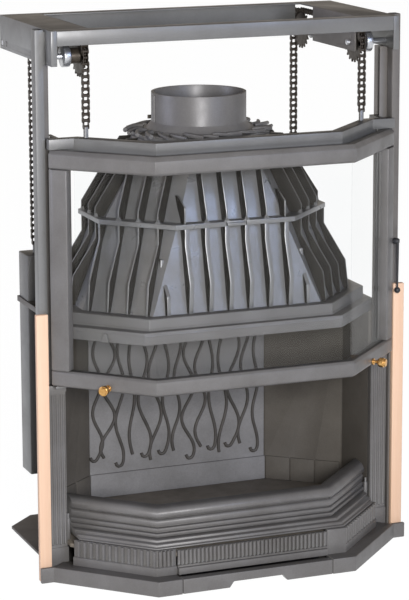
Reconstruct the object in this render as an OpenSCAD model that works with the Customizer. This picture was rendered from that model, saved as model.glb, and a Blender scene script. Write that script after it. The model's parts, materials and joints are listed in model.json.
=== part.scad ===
// Cast-iron fireplace insert with a panoramic lifting door on two chains and counterweights.
// Millimetres, +Z up, the front faces -Y. The origin is at the middle of the footprint, on the floor.
// Measures along Y are taken from the post line and moved back by seat().

/* [Firebox] */
// Half width of the straight front facet of the plinth
plinth_a = 219; // [200:1:240]
// Distance of the plinth's front face ahead of the post line
plinth_y = 213; // [205:1:225]
// Height of the plinth
plinth_h = 32; // [28:1:40]
// Half width of the plinth without its ears
plinth_end = 387; // [380:1:395]
// Length of each plinth ear
ear_l = 26; // [15:1:35]
// Half width of the loose centre piece of the plinth
plinth_mid = 166; // [140:1:175]
// Width of the finger notch in the centre piece
notch_w = 118; // [80:1:150]
// Height of the finger notch
notch_h = 13; // [8:1:18]
// Half width of the base plate
base_x = 375; // [365:1:380]
// Distance of the base plate's rear edge behind the post line
base_rear = 350; // [345:1:370]
// Size of the cut rear corners of the base plate
base_cut = 62; // [40:1:80]
// Thickness of the base plate
base_t = 6; // [4:1:10]
// Height of the hearth floor
hearth_z = 74; // [68:1:80]
// Half width of the fireback
back_a = 206; // [190:1:220]
// Distance of the fireback behind the post line
back_y = 250; // [240:1:256]
// Half width of the firebox between its side walls
fire_x = 345; // [330:1:347]
// Distance behind the post line at which the side walls turn to the fireback
splay_y = 135; // [110:1:150]
// Thickness of the cast walls
wall_t = 8; // [6:1:10]
// Top of the lower course of wall blocks
course_z = 127; // [115:1:140]
// Height of the log guard's top edge
guard_z = 156; // [145:1:165]
// Thickness of the log guard's foot
guard_t = 34; // [28:1:40]
// How far the log guard stands behind the fluted band
guard_in = 36; // [30:1:38]
// Top of the fluted front band
band_z = 86; // [80:1:90]
// Distance of the fluted band ahead of the post line
band_y = 180; // [172:1:182]
// Half width of the fluted band's front
band_a = 211; // [205:1:213]
// Pitch of the flutes
flute_p = 14; // [10:1:16]
// Depth of the flutes
flute_d = 2.5; // [1:0.5:3]
// How far the air flap stands out ahead of the fluted band
flap_out = 8; // [8:1:9]

/* [Columns] */
// Width of a fluted column
col_w = 36; // [30:1:37]
// Depth of a fluted column
col_d = 15; // [12:1:15]
// Top of the columns
col_h = 408; // [380:1:415]
// Top of the column foot
foot_h = 62; // [50:1:70]

/* [Hood] */
// Underside of the hood
hood_z = 505; // [495:1:515]
// Height of the hood's lower fascia
fascia_h = 26; // [20:1:30]
// Height of the step above the fascia
step_h = 24; // [18:1:28]
// Half width of the fascia's front
fascia_a = 218; // [205:1:222]
// Distance of the fascia ahead of the post line
fascia_y = 138; // [130:1:142]
// Set-back of the step above the fascia
step_in = 14; // [13:1:18]
// Underside of the flange between the tiers
mid_z = 727; // [700:1:740]
// Thickness of the flange between the tiers
mid_t = 10; // [8:1:14]
// Underside of the hood's cap
cap_z = 888; // [870:1:895]
// Thickness of the cap
cap_t = 10; // [8:1:14]
// Spacing of the cooling fins
fin_p = 44; // [36:1:52]
// Thickness of a fin
fin_t = 8; // [5:0.5:9]
// How far the fins stand out
fin_d = 26; // [18:1:28]
// Outer diameter of the flue collar
flue_d = 200; // [180:1:210]
// Wall of the flue collar
flue_wall = 6; // [4:0.5:8]
// Top of the flue collar
flue_top = 978; // [950:1:1000]
// Distance of the flue's centre behind the post line
flue_y = 117; // [105:1:125]

/* [Top frame] */
// Height of the whole frame
frame_h = 1137; // [1110:1:1180]
// Half width over the side channels
side_x = 379; // [376:1:381]
// Depth of the side channels behind the post line
side_d = 290; // [285:1:294]
// Height of the side channels
web_h = 70; // [60:1:76]
// Width of the side channels
flange_w = 84; // [80:1:90]
// Sheet thickness of the frame
sheet = 3; // [2:0.5:4]
// Distance of the front rail ahead of the post line
rail_y = 58; // [50:1:60]
// Height of the front and rear rails
rail_h = 30; // [25:1:34]
// Length of the inner webs behind the post line
inner_l = 187; // [160:1:210]

/* [Posts and guides] */
// Outer half width over the posts
post_x = 401; // [400:1:402]
// Width of a post
post_w = 18; // [16:0.5:18]
// Depth of a post
post_d = 25; // [20:1:28]
// Distance of the posts' front ahead of the post line
post_y = 20; // [18:1:22]
// Width of the wooden battens
batten_w = 25; // [20:1:25]
// Thickness of the wooden battens
batten_t = 12; // [8:0.5:12]
// Top of the wooden battens
batten_z = 562; // [500:1:640]
// Depth of a guide channel
guide_d = 28; // [24:1:32]
// Width of a guide channel
guide_w = 25; // [22:1:28]

/* [Door] */
// Half width of the door's straight front facet
door_a = 217; // [205:1:218]
// Distance of the door's face ahead of the post line
door_y = 204; // [200:1:206]
// Half width over the door
door_end = 383; // [378:1:384]
// Height of the door's lower edge, half raised
door_z = 413; // [400:1:430]
// Height of the door
door_h = 485; // [470:1:500]
// Thickness of the door frame
door_t = 22; // [18:1:24]
// Height of the top rail
rail_top = 38; // [34:1:44]
// Height of the bottom rail
rail_low = 35; // [30:1:42]
// Width of the stiles
stile_w = 40; // [32:1:46]
// Thickness of the glass
glass_t = 4; // [3:0.5:6]
// Diameter of the hinge pins
pin_d = 7; // [5:0.5:8]

/* [Carriage and chains] */
// Set-back of the carriage band behind the door's face
band_in = 37; // [34:1:42]
// Height of the carriage band
lift_h = 21; // [18:1:26]
// Depth of the carriage band
lift_d = 26; // [20:1:30]
// Half distance between the chains
chain_x = 303; // [300:1:306]
// Pitch radius of the sprockets
sprocket_r = 40; // [38:0.5:42]
// Teeth on a sprocket
teeth = 20; // [18:1:22]
// Depth of the axles below the top of the frame
axle_drop = 57; // [53:0.5:59]
// Distance of the rear axles behind the front ones
axle_gap = 273; // [268:1:276]
// Height of a chain's side plates
link_h = 10; // [8:0.5:10.5]
// Width over a chain
link_w = 14; // [12:0.5:14]
// Width of a counterweight
weight_w = 54; // [44:1:58]
// Depth of a counterweight
weight_d = 62; // [50:1:64]
// Height of a counterweight
weight_h = 486; // [470:1:500]
// Height of a counterweight's lower end, door half raised
weight_z = 133; // [128:1:145]
// Height of the counterweights' guide straps
strap_z = 508; // [506:1:516]

/* [Hidden] */
$fn = 48;
seat_y = (plinth_y - base_rear) / 2;
pan_x = plinth_mid - 18;
grate_x = pan_x - 30;
gap = 0.3;
root2 = sqrt(2);
turn = tan(22.5);
post_in = post_x - post_w;
guide_in = post_x - 10 - guide_w;
guide_y = post_d - post_y + gap;
web_z = frame_h - web_h;
axle_z = frame_h - axle_drop;
inner_x = side_x - flange_w;
base_z = 14;
axle_y = sprocket_r - 39;
rear_y = axle_y + axle_gap;
chain_front_y = axle_y - sprocket_r;
chain_rear_y = rear_y + sprocket_r;
lift_y = door_y - band_in;
lift_a = door_a - band_in * turn;
lift_z = door_z + door_h + 0.6;
lift_end = post_in - 2;
lug_z = lift_z + lift_h + 22;
weight_lug = weight_z + weight_h + 22;
hinge_s = (door_end - (door_y - door_end + door_a)) / root2 - 8;
hinge_n = (door_a + door_y) / root2 - door_t / 2 - 1.5;
hinge_x = (hinge_s + hinge_n) / root2;
hinge_y = (hinge_n - hinge_s) / root2;
hood_back = back_y + wall_t;
fire_top = hood_z - gap;

module seat() {
  translate([0, seat_y, 0]) children();
}
module handed(side) {
  mirror([side < 0 ? 1 : 0, 0, 0]) children();
}
module pair() {
  handed(1) children();
  handed(-1) children();
}
module block(x0, x1, y0, y1, z0, z1) {
  translate([x0, y0, z0]) cube([x1 - x0, y1 - y0, z1 - z0]);
}
// Outline of a three-facet bay: a is the half width of the front, y its distance ahead, end its reach.
function bay_edge(a, y, end) = [[-end, end - a - y], [-a, -y], [a, -y], [end, end - a - y]];
// A strip of even thickness t behind such an outline, its ends square to the side facets.
function bay_strip(a, y, end, t) = let (
  k = t / root2,
  inner = bay_edge(a - t * turn, y - t, end - k)
) concat(bay_edge(a, y, end), [inner[3], inner[2], inner[1], inner[0]]);
module bay(a, y, end, t, z0, z1) {
  translate([0, 0, z0]) linear_extrude(z1 - z0) polygon(bay_strip(a, y, end, t));
}
// Half of a bay strip, from the centre line to the end on the right.
module half_bay(a, y, end, t, z0, z1, from = 0) {
  intersection() {
    bay(a, y, end, t, z0, z1);
    block(from, end + 1, -y - 1, end, z0 - 1, z1 + 1);
  }
}

// The plan of the hood at one height: front half width, front, side half width, its front and rear, rear half width.
function hood_plan(fa, fy, sx, sy1, ra, ry) = [
  [-fa, -fy], [fa, -fy], [sx, sx - fa - fy], [sx, sy1], [ra, ry], [-ra, ry], [-sx, sy1], [-sx, sx - fa - fy]
];
function shrink(plan, t) = [for (p = plan) [p[0] - sign(p[0]) * t, p[1] + (p[1] > flue_y ? -t : t)]];
LOW_0 = hood_plan(fascia_a - 33, fascia_y - 38, 298, 172, 195, back_y + 2);
LOW_1 = hood_plan(fascia_a - 99, fascia_y - 75, 228, 160, 145, back_y - 16);
RIM = hood_plan(fascia_a - 87, fascia_y - 47, 254, 164, 150, back_y - 8);
UP_0 = hood_plan(fascia_a - 102, fascia_y - 72, 232, 158, 140, back_y - 18);
UP_1 = hood_plan(60, 14, 140, 168, 70, back_y - 26);
module slab(plan, z, t) {
  translate([0, 0, z]) linear_extrude(t) polygon(plan);
}
module tier(p0, p1, z0, z1) {
  difference() {
    hull() {
      slab(p0, z0, 0.5);
      slab(p1, z1 - 0.5, 0.5);
    }
    hull() {
      slab(shrink(p0, wall_t), z0 - 0.5, 0.5);
      slab(shrink(p1, wall_t), z1, 0.5);
    }
  }
}
// How far a plan reaches along its front, its 45 degree facet and its side.
function reach(plan) = [-plan[0][1], (plan[1][0] - plan[1][1]) / root2, plan[2][0]];
// One fin on a panel that leans from n0 at z0 to n1 at z1, with its edge running up to the rim at nr.
module low_fin(n0, n1, nr, z0, z1, t) {
  knee = z0 + (z1 - z0) * 0.36;
  rotate([90, 0, 0]) translate([0, 0, -t / 2]) linear_extrude(t) polygon([
    [n0 - wall_t / 2, z0], [n0 + 9, z0], [n0 + (n1 - n0) * 0.36 + fin_d, knee], [nr - 3, z1 - 34],
    [nr - 3, z1], [n1 - wall_t / 2, z1]
  ]);
}
module high_fin(n0, n1, nr, z0, z1, t) {
  rotate([90, 0, 0]) translate([0, 0, -t / 2]) linear_extrude(t) polygon([
    [n0 - wall_t / 2, z0], [nr - 3, z0], [nr - 3, z0 + 20], [n1 + fin_d * 0.7, z1], [n1 - wall_t / 2, z1]
  ]);
}

module base_plate() {
  inner_end = plinth_end - 24 + ear_y() - 24 + 8 * root2 + 9;
  color("#4a4a4c") seat() difference() {
    union() {
      translate([0, 0, base_z]) linear_extrude(base_t) polygon(concat(
        bay_edge(plinth_a - 8 * turn, plinth_y - 8, plinth_end - 24),
        [[inner_end, -9], [base_x, -9], [base_x, base_rear - base_cut], [base_x - base_cut, base_rear],
        [-base_x + base_cut, base_rear], [-base_x, base_rear - base_cut], [-base_x, -9], [-inner_end, -9]]
      ));
      for (s = [-1, 1]) block(s * 210 - 20, s * 210 + 20, 0, base_rear - 10, 0, base_z);
      for (s = [-1, 1]) block(s * 154 - 14, s * 154 + 14, -plinth_y + 24, 118, base_z - 4, base_z);
      block(-168, 168, 101, 118, base_z - 4, base_z);
    }
    block(-pan_x - 1, pan_x + 1, -plinth_y, 101, base_z - 0.01, base_z + base_t + 1);
    block(-plinth_mid - 1, plinth_mid + 1, -plinth_y, -plinth_y + 21, base_z - 5, base_z + base_t + 1);
    block(-pan_x + 9, pan_x - 9, -plinth_y, 90, base_z - 5, base_z + 1);
  }
}
module plinth_right_shape() {
  difference() {
    union() {
      half_bay(plinth_a, plinth_y, plinth_end, 52, 0, plinth_h, plinth_mid + 1);
      block(plinth_end - 20, plinth_end + ear_l, ear_y(), ear_y() + 8, 0, plinth_h);
    }
    half_bay(plinth_a - 8 * turn, plinth_y - 8, plinth_end - 24, 60, -1, plinth_h - 6, plinth_mid - 1);
    block(batten_in() - 0.5, plinth_end + ear_l + 1, -post_y - batten_t - 0.5, 40, -1, plinth_h + 1);
    block(0, plinth_end + 1, -17, 60, -1, plinth_h + 1);
  }
}
function ear_y() = plinth_end - plinth_a - plinth_y;
function batten_in() = post_in + 3;
module plinth_left() {
  color("#55565a") seat() handed(-1) plinth_right_shape();
}
module plinth_right() {
  color("#55565a") seat() plinth_right_shape();
}
module ash_drawer_front() {
  color("#5a5b5f") seat() difference() {
    block(-plinth_mid, plinth_mid, -plinth_y, -plinth_y + 20, 0.5, plinth_h - 0.5);
    translate([0, -plinth_y - 1, 0]) rotate([-90, 0, 0]) linear_extrude(22)
      polygon([[-notch_w / 2 - 6, 1], [-notch_w / 2 + 4, -notch_h], [notch_w / 2 - 4, -notch_h], [notch_w / 2 + 6, 1]]);
  }
}
module ash_pan() {
  color("#3f3f41") seat() difference() {
    block(-pan_x, pan_x, -plinth_y + 20, 100, base_z + gap, plinth_h - 3);
    block(-pan_x + 1.5, pan_x - 1.5, -plinth_y + 21.5, 98.5, base_z + gap + 1.5, plinth_h);
  }
}
module fluted_shape() {
  difference() {
    half_bay(band_a, band_y, fire_x, 12, plinth_h, band_z, plinth_mid + 1);
    for (i = [0 : floor((fire_x - band_a) * root2 / flute_p) - 1])
      translate([band_a, -band_y, 0]) rotate([0, 0, 45]) translate([flute_p * (i + 0.5), -5, plinth_h + 21])
        block(0, flute_p * 0.55, 0, 5 + flute_d, 0, band_z);
    children();
    translate([plinth_mid, -band_y + 6, flap_pivot()]) rotate([0, 90, 0]) cylinder(d = 6.2, h = 7);
  }
}
function flap_pivot() = plinth_h + 6;
// Spacing of the flutes on the front faces.
function fine_p() = flute_p * 0.62;
module fluted_band_left() {
  color("#5a5b5f") seat() handed(-1) fluted_shape()
    for (i = [0 : floor((band_a - plinth_mid - 6) / fine_p()) - 1])
      block(band_a - fine_p() * (i + 0.8), band_a - fine_p() * (i + 0.25), -band_y - 5, -band_y + flute_d,
        plinth_h + 21, band_z + 1);
}
module fluted_band_right() {
  color("#5a5b5f") seat() fluted_shape();
}
module air_flap() {
  y0 = -band_y - flap_out;
  color("#5c5d61") seat() union() {
    difference() {
      block(-plinth_mid, plinth_mid, y0, y0 + 8, plinth_h + 1, band_z - 1);
      for (i = [0 : floor(plinth_mid * 2 / fine_p()) - 1])
        block(-plinth_mid + fine_p() * (i + 0.3), -plinth_mid + fine_p() * (i + 0.8),
          y0 - 5, y0 + flute_d, plinth_h + 22, band_z + 1);
    }
    pair() {
      block(plinth_mid - 8, plinth_mid, y0 + 8, -band_y + 6, flap_pivot() - 4, flap_pivot() + 4);
      translate([plinth_mid - 8, -band_y + 6, flap_pivot()]) rotate([0, 90, 0]) cylinder(d = 8, h = 8);
      translate([plinth_mid - 1, -band_y + 6, flap_pivot()]) rotate([0, 90, 0]) cylinder(d = 6, h = 7.5);
    }
  }
}
// One course of the log guard, its outside this far behind the fluted band.
module guard_step(z0, z1, back) {
  bay(band_a - back * turn, band_y - back, fire_x - 12, guard_in + guard_t - back, z0, z1);
}
module log_guard() {
  z = band_z + gap;
  h = (guard_z - z) / 10;
  color("#606167") seat() union() {
    guard_step(z, z + 0.6 * h, 1);
    guard_step(z + 0.6 * h, z + 1.7 * h, guard_in);
    guard_step(z + 1.7 * h, z + 3.6 * h, guard_in + 2);
    guard_step(z + 3.6 * h, z + 5.2 * h, guard_in + 4);
    guard_step(z + 5.2 * h, z + 7 * h, guard_in + 7);
    guard_step(z + 7 * h, z + 9.2 * h, guard_in + 3);
    guard_step(z + 9.2 * h, guard_z, guard_in + 10);
  }
}
module guard_pins() {
  color("#6c6d70") seat() pair() union() {
    translate([fire_x - 5.5, 0, hearth_z]) cylinder(d = 9, h = 46);
    translate([fire_x - 5.5, 0, hearth_z + 46]) cylinder(d = 5, h = 10);
  }
}
module hearth_plate() {
  a = band_a - 12.5 * turn;
  y = band_y - 12.5;
  color("#4c4b49") seat() difference() {
    union() {
      translate([0, 0, hearth_z - 8]) linear_extrude(8) polygon(concat(bay_edge(a, y, fire_x), [
        [fire_x, splay_y], [back_a, back_y - gap], [-back_a, back_y - gap], [-fire_x, splay_y]
      ]));
      for (s = [-1, 1]) block(s * 250 - 10, s * 250 + 10, 0, 170, base_z + base_t, hearth_z - 8);
    }
    block(-grate_x + 8, grate_x - 8, 48 - grate_x, grate_x - 28, hearth_z - 9, hearth_z - 3);
    block(-grate_x, grate_x, 40 - grate_x, grate_x - 20, hearth_z - 4, hearth_z + 1);
  }
}
module grate() {
  color("#3c3a38") seat() difference() {
    block(-grate_x + gap, grate_x - gap, 40 - grate_x + gap, grate_x - 20 - gap, hearth_z - 4, hearth_z + 4);
    for (i = [-5 : 5]) translate([i * (grate_x + 2) / 6, 0, 0])
      block(-5, 5, 56 - grate_x, grate_x - 36, hearth_z - 5, hearth_z + 5);
  }
}
module fireback() {
  color("#6b6966") seat() union() {
    block(-back_a, back_a, back_y, back_y + wall_t, base_z + base_t, fire_top);
    block(-back_a, back_a, back_y - 6, back_y, hearth_z, course_z);
  }
}
module wall_shape() {
  difference() {
    linear_extrude(fire_top) polygon([
      [back_a + gap, back_y + wall_t], [back_a + gap, back_y], [fire_x, splay_y], [fire_x, col_front() + col_d],
      [fire_x + wall_t, col_front() + col_d], [fire_x + wall_t, splay_y + 3], [back_a + 10, back_y + wall_t]
    ]);
    translate([0, 0, -1]) cube([500, 500, base_z + base_t + 1]);
  }
  for (i = [0 : 2]) translate([back_a + 4, back_y - 1, 0]) rotate([0, 0, splay_turn()])
    block(splay_l() * i / 3 + 1, splay_l() * (i + 1) / 3 - 1, -6, 0, hearth_z, course_z);
}
function splay_turn() = atan2(splay_y - back_y, fire_x - back_a);
function splay_l() = norm([splay_y - back_y, fire_x - back_a]) - 8;
function col_front() = -11;
module wall_left() {
  color("#55524d") seat() handed(-1) wall_shape();
}
module wall_right() {
  color("#55524d") seat() wall_shape();
}
module smoke_baffle() {
  color("#4a4845") seat() translate([0, ring_back() - 4, hood_z + 6]) rotate([-38, 0, 0])
    block(-ring_rear_x() + gap, ring_rear_x() - gap, -back_y * 0.8, 0, 0, 6);
}
function ring_back() = back_y - 14;
function ring_rear_x() = back_a - 26;
module column_shape() {
  x0 = fire_x;
  y0 = col_front();
  block(x0 - 2, x0 + col_w + 1, y0 - 2, y0 + col_d, base_z + base_t, foot_h);
  difference() {
    block(x0, x0 + col_w, y0, y0 + col_d, foot_h, col_h - 14);
    for (i = [0 : 3]) translate([x0 + col_w * (i + 0.5) / 4, y0 - 0.5, foot_h + 6])
      cylinder(d = col_w / 4 - 3, h = col_h - foot_h - 26);
  }
  block(x0 - 1, x0 + col_w, y0 - 3, y0 + col_d, col_h - 14, col_h);
}
module column_left() {
  color("#6a6c70") seat() handed(-1) column_shape();
}
module column_right() {
  color("#6a6c70") seat() column_shape();
}
module hood_ring(z0, z1, a, y, side) {
  translate([0, 0, z0]) linear_extrude(z1 - z0) difference() {
    polygon(concat(bay_edge(a, y, side), [
      [side, splay_back()], [rear_x(), hood_back], [-rear_x(), hood_back], [-side, splay_back()]
    ]));
    polygon(concat(bay_edge(fascia_a - 40 * turn, fascia_y - 50, 280), [
      [280, 150], [ring_rear_x(), ring_back()], [-ring_rear_x(), ring_back()], [-280, 150]
    ]));
  }
}
function hood_side() = fire_x + 2;
function splay_back() = splay_y + 25;
function rear_x() = back_a - 6;
module hood_base() {
  color("#7b7e84") seat() union() {
    hood_ring(hood_z, hood_z + fascia_h, fascia_a, fascia_y, hood_side());
    hood_ring(hood_z + fascia_h, hood_z + fascia_h + step_h, fascia_a - step_in - 2, fascia_y - step_in,
      hood_side() - step_in);
  }
}
module hood_lower() {
  z0 = hood_z + fascia_h + step_h;
  z1 = mid_z;
  n0 = reach(LOW_0);
  n1 = reach(LOW_1);
  nr = reach(RIM);
  color("#8a8f98") seat() union() {
    tier(LOW_0, LOW_1, z0, z1);
    for (i = [-2.5 : 2.5]) translate([i * fin_p, 0, 0]) rotate([0, 0, -90]) low_fin(n0[0], n1[0], nr[0], z0, z1, fin_t);
    for (i = [-3.5, 3.5]) translate([i * fin_p, 0, 0]) rotate([0, 0, -90])
      low_fin(n0[0], n1[0] - 20, nr[0] - 16, z0, z1 - 62, fin_t);
    pair() {
      for (i = [0 : 3]) rotate([0, 0, -45]) translate([0, 71 + i * fin_p, 0]) low_fin(n0[1], n1[1], nr[1], z0, z1, fin_t - 2);
      for (i = [0 : 2]) translate([0, 64 + i * fin_p, 0]) low_fin(n0[2], n1[2], nr[2], z0, z1, fin_t - 2);
    }
  }
}
module hood_flange() {
  color("#9a9ea6") seat() difference() {
    slab(RIM, mid_z, mid_t);
    slab(shrink(UP_0, wall_t + 4), mid_z - 1, mid_t + 2);
  }
}
module hood_upper() {
  z0 = mid_z + mid_t;
  z1 = cap_z;
  n0 = reach(UP_0);
  n1 = reach(UP_1);
  nr = reach(RIM);
  color("#8a8f98") seat() union() {
    tier(UP_0, UP_1, z0, z1);
    for (i = [-1.5 : 1.5]) translate([i * fin_p, 0, 0]) rotate([0, 0, -90]) high_fin(n0[0], n1[0], nr[0], z0, z1, fin_t - 3);
    for (i = [-2.5, 2.5]) translate([i * fin_p, 0, 0]) rotate([0, 0, -90])
      high_fin(n0[0], n0[0] - 26, nr[0], z0, z0 + 52, fin_t - 3);
    pair() {
      for (i = [0 : 2]) rotate([0, 0, -45]) translate([0, 71 + i * fin_p, 0]) high_fin(n0[1], n1[1], nr[1], z0, z1, fin_t - 3);
      for (i = [0 : 2]) translate([0, 64 + i * fin_p, 0]) high_fin(n0[2], n1[2], nr[2], z0, z1, fin_t - 3);
    }
  }
}
module hood_cap() {
  color("#77797c") seat() difference() {
    union() {
      slab(UP_1, cap_z, cap_t);
      for (i = [0 : 21]) translate([0, flue_y, cap_z]) rotate([0, 0, i * 360 / 22 + 5])
        block(60, flue_d / 2 + 18 + 48 * abs(cos(i * 360 / 22 + 5)), -3, 3, 0, cap_t + (i % 3) * 3 + 2);
    }
    translate([0, flue_y, cap_z - 1]) cylinder(d = flue_d - 2 * flue_wall, h = cap_t + 20);
    translate([0, flue_y, cap_z + cap_t]) cylinder(d = flue_d + 33, h = 20);
    translate([-12, flue_y + flue_d / 2, cap_z + cap_t]) cube([24, 80, 20]);
  }
}
module flue_collar() {
  z0 = cap_z + cap_t;
  color("#85888f") seat() translate([0, flue_y, 0]) difference() {
    union() {
      translate([0, 0, z0]) cylinder(d = flue_d + 32, h = 5);
      translate([0, 0, z0 + 5]) cylinder(d1 = flue_d + 22, d2 = flue_d, h = 14);
      translate([0, 0, z0]) cylinder(d = flue_d, h = flue_top - z0);
    }
    translate([0, 0, z0 - 1]) cylinder(d = flue_d - 2 * flue_wall, h = flue_top);
    translate([0, -flue_d / 2 + 2, z0 + damper_up()]) rotate([-90, 0, 0]) cylinder(d = 8.2, h = flue_d);
    translate([0, flue_d / 2 - 10, z0 + damper_up()]) rotate([-90, 0, 0]) cylinder(d = 8.2, h = 40);
  }
}
function damper_up() = 13;
module damper_plate() {
  r = flue_d / 2;
  color("#5f6063") seat() translate([0, flue_y, cap_z + cap_t + damper_up()]) union() {
    intersection() {
      translate([0, 0, -1.5]) cylinder(r = r - flue_wall - 1.5, h = 3);
      block(-r * 0.58, r * 0.58, -r, r, -3, 3);
    }
    translate([0, -r + 3, 0]) rotate([-90, 0, 0]) cylinder(d = 8, h = 2 * r + 22);
    translate([0, r + 15, 0]) rotate([-90, 0, 0]) cylinder(d = 14, h = 6);
    block(-70, 4, r + 19, r + 22, -4, 4);
  }
}
module channel_shape() {
  difference() {
    block(inner_x, side_x, -rail_y, side_d, web_z, frame_h);
    block(inner_x - 1, side_x - sheet, -rail_y + sheet, side_d + 1, web_z - 1, frame_h - sheet);
    block(inner_x - 1, side_x - 12, -rail_y - 1, -rail_y + sheet + 1, web_z - 1, frame_h + 1);
    block(inner_x - 1, side_x - 12, -rail_y - 1, -rail_y + 30, frame_h - sheet - 1, frame_h + 1);
    translate([side_x - sheet - 1, rear_y, axle_z]) rotate([0, 90, 0]) cylinder(d = 12.4, h = 10);
    translate([side_x - sheet - 1, axle_y, axle_z]) rotate([0, 90, 0]) cylinder(d = 12.4, h = 10);
    block(side_x - sheet - 1, side_x + 1, rear_y - 34, rear_y - 26, axle_z - 5, axle_z + 6);
  }
}
module side_channel_left() {
  color("#85888f") seat() handed(-1) channel_shape();
}
module side_channel_right() {
  color("#85888f") seat() channel_shape();
}
module inner_web_shape() {
  difference() {
    block(inner_x - sheet, inner_x, -rail_y + 30, inner_l, web_z - 4, frame_h);
    translate([inner_x - sheet - 1, axle_y, axle_z]) rotate([0, 90, 0]) cylinder(d = 12.4, h = 10);
  }
}
module inner_web_left() {
  color("#5b5856") seat() handed(-1) inner_web_shape();
}
module inner_web_right() {
  color("#5b5856") seat() inner_web_shape();
}
module front_rail() {
  color("#8c9098") seat() union() {
    block(-side_x + 12, side_x - 12, -rail_y, -rail_y + sheet, frame_h - rail_h, frame_h);
    block(-side_x + 12, side_x - 12, -rail_y, -rail_y + 30, frame_h - sheet, frame_h);
  }
}
module rear_rail() {
  color("#8c9098") seat() union() {
    block(-inner_x, inner_x, side_d - sheet, side_d, frame_h - web_h, frame_h);
    block(-inner_x, inner_x, side_d - 30, side_d - sheet, frame_h - sheet, frame_h);
  }
}
module post_shape() {
  difference() {
    block(post_in, post_x, -post_y, post_d - post_y, 0, frame_h);
    block(post_in + 2, post_x - 2, -post_y + 2, post_d - post_y - 2, -1, frame_h + 1);
  }
  block(side_x, post_in, -post_y + 4, post_d - post_y - 4, web_z, frame_h - 4);
}
module post_left() {
  color("#8c9098") seat() handed(-1) post_shape();
}
module post_right() {
  color("#8c9098") seat() post_shape();
}
module guide_shape() {
  difference() {
    block(guide_in, guide_in + guide_w, guide_y, guide_y + guide_d, base_z + base_t, web_z);
    block(guide_in - 1, guide_in + guide_w - 3, guide_y + 3, guide_y + guide_d - 3, base_z, web_z + 1);
  }
}
module guide_left() {
  color("#6f6b66") seat() handed(-1) guide_shape();
}
module guide_right() {
  color("#6f6b66") seat() guide_shape();
}
module batten_shape() {
  block(batten_in(), batten_in() + batten_w, -post_y - batten_t, -post_y, 0, batten_z);
}
module batten_left() {
  color("#f3cfa6") seat() handed(-1) batten_shape();
}
module batten_right() {
  color("#f3cfa6") seat() batten_shape();
}
module axles() {
  color("#c4c6c8") seat() pair() for (y = [axle_y, rear_y]) {
    translate([inner_x - sheet - 6, y, axle_z]) rotate([0, 90, 0]) cylinder(d = 12, h = side_x - inner_x + sheet + 6);
    translate([chain_x + 22, y, axle_z]) rotate([0, 90, 0]) cylinder(d = 44, h = 14);
  }
}
module strap_shape() {
  x0 = chain_x - weight_w / 2 - 1;
  x1 = chain_x + weight_w / 2 + 1;
  y0 = chain_rear_y - weight_d / 2 - 1;
  y1 = chain_rear_y + weight_d / 2 + 1;
  slope = (hood_back - splay_back()) / (hood_side() - rear_x());
  difference() {
    block(x0 - sheet, x1 + sheet, y0 - sheet, y1 + sheet, strap_z, strap_z + 12);
    block(x0, x1, y0, y1, strap_z - 1, strap_z + 13);
  }
  translate([0, 0, strap_z]) linear_extrude(12) polygon([
    [x1, splay_back() + (hood_side() - x1) * slope], [x1 + sheet, splay_back() + (hood_side() - x1 - sheet) * slope],
    [x1 + sheet, y0 - sheet], [x1, y0 - sheet]
  ]);
}
module strap_left() {
  color("#7d7a77") seat() handed(-1) strap_shape();
}
module strap_right() {
  color("#7d7a77") seat() strap_shape();
}
module sprocket(y) {
  translate([chain_x, y, axle_z]) rotate([0, 90, 0]) difference() {
    union() {
      translate([0, 0, -1.5]) cylinder(r = sprocket_r - 4, h = 3);
      for (i = [0 : teeth - 1]) rotate([0, 0, (i + 0.5) * 360 / teeth]) translate([0, 0, -1.5]) linear_extrude(3)
        polygon([[sprocket_r - 7, -4], [sprocket_r + 3, -1.4], [sprocket_r + 3, 1.4], [sprocket_r - 7, 4]]);
      translate([0, 0, 1.5]) cylinder(d = 32, h = 18);
    }
    translate([0, 0, -5]) cylinder(d = 12.6, h = 40);
  }
}
module sprocket_front_left() {
  color("#57534e") seat() handed(-1) sprocket(axle_y);
}
module sprocket_front_right() {
  color("#57534e") seat() sprocket(axle_y);
}
module sprocket_rear_left() {
  color("#57534e") seat() handed(-1) sprocket(rear_y);
}
module sprocket_rear_right() {
  color("#57534e") seat() sprocket(rear_y);
}
// Section of the chain's envelope, radius along x: a band that straddles the teeth.
module link_section() {
  difference() {
    translate([sprocket_r - link_h / 2 + 0.6, -link_w / 2]) square([link_h, link_w]);
    translate([sprocket_r - link_h, -2.2]) square([link_h + 3.4, 4.4]);
  }
}
module quarter(y, start) {
  translate([chain_x, y, axle_z]) rotate([0, 90, 0]) rotate([0, 0, start]) rotate_extrude(angle = 90) link_section();
}
module run_down(y, dir, z0, z1) {
  translate([chain_x, y, z0]) rotate([0, 0, dir]) linear_extrude(z1 - z0) link_section();
}
module chain_top_shape() {
  quarter(axle_y, 180);
  quarter(rear_y, 90);
  translate([chain_x, axle_y, axle_z]) rotate([-90, -90, 0]) linear_extrude(axle_gap) link_section();
}
module chain_top_left() {
  color("#47423c") seat() handed(-1) chain_top_shape();
}
module chain_top_right() {
  color("#47423c") seat() chain_top_shape();
}
module chain_front_left() {
  color("#47423c") seat() handed(-1) run_down(axle_y, -90, lug_z, axle_z);
}
module chain_front_right() {
  color("#47423c") seat() run_down(axle_y, -90, lug_z, axle_z);
}
module chain_rear_left() {
  color("#47423c") seat() handed(-1) run_down(rear_y, 90, weight_lug, axle_z);
}
module chain_rear_right() {
  color("#47423c") seat() run_down(rear_y, 90, weight_lug, axle_z);
}
module weight_shape() {
  translate([chain_x, chain_rear_y, 0]) union() {
    block(-weight_w / 2, weight_w / 2, -weight_d / 2, weight_d / 2, weight_z, weight_z + weight_h);
    block(-4, 4, -4, 4, weight_z + weight_h, weight_lug - 0.3);
  }
}
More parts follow.
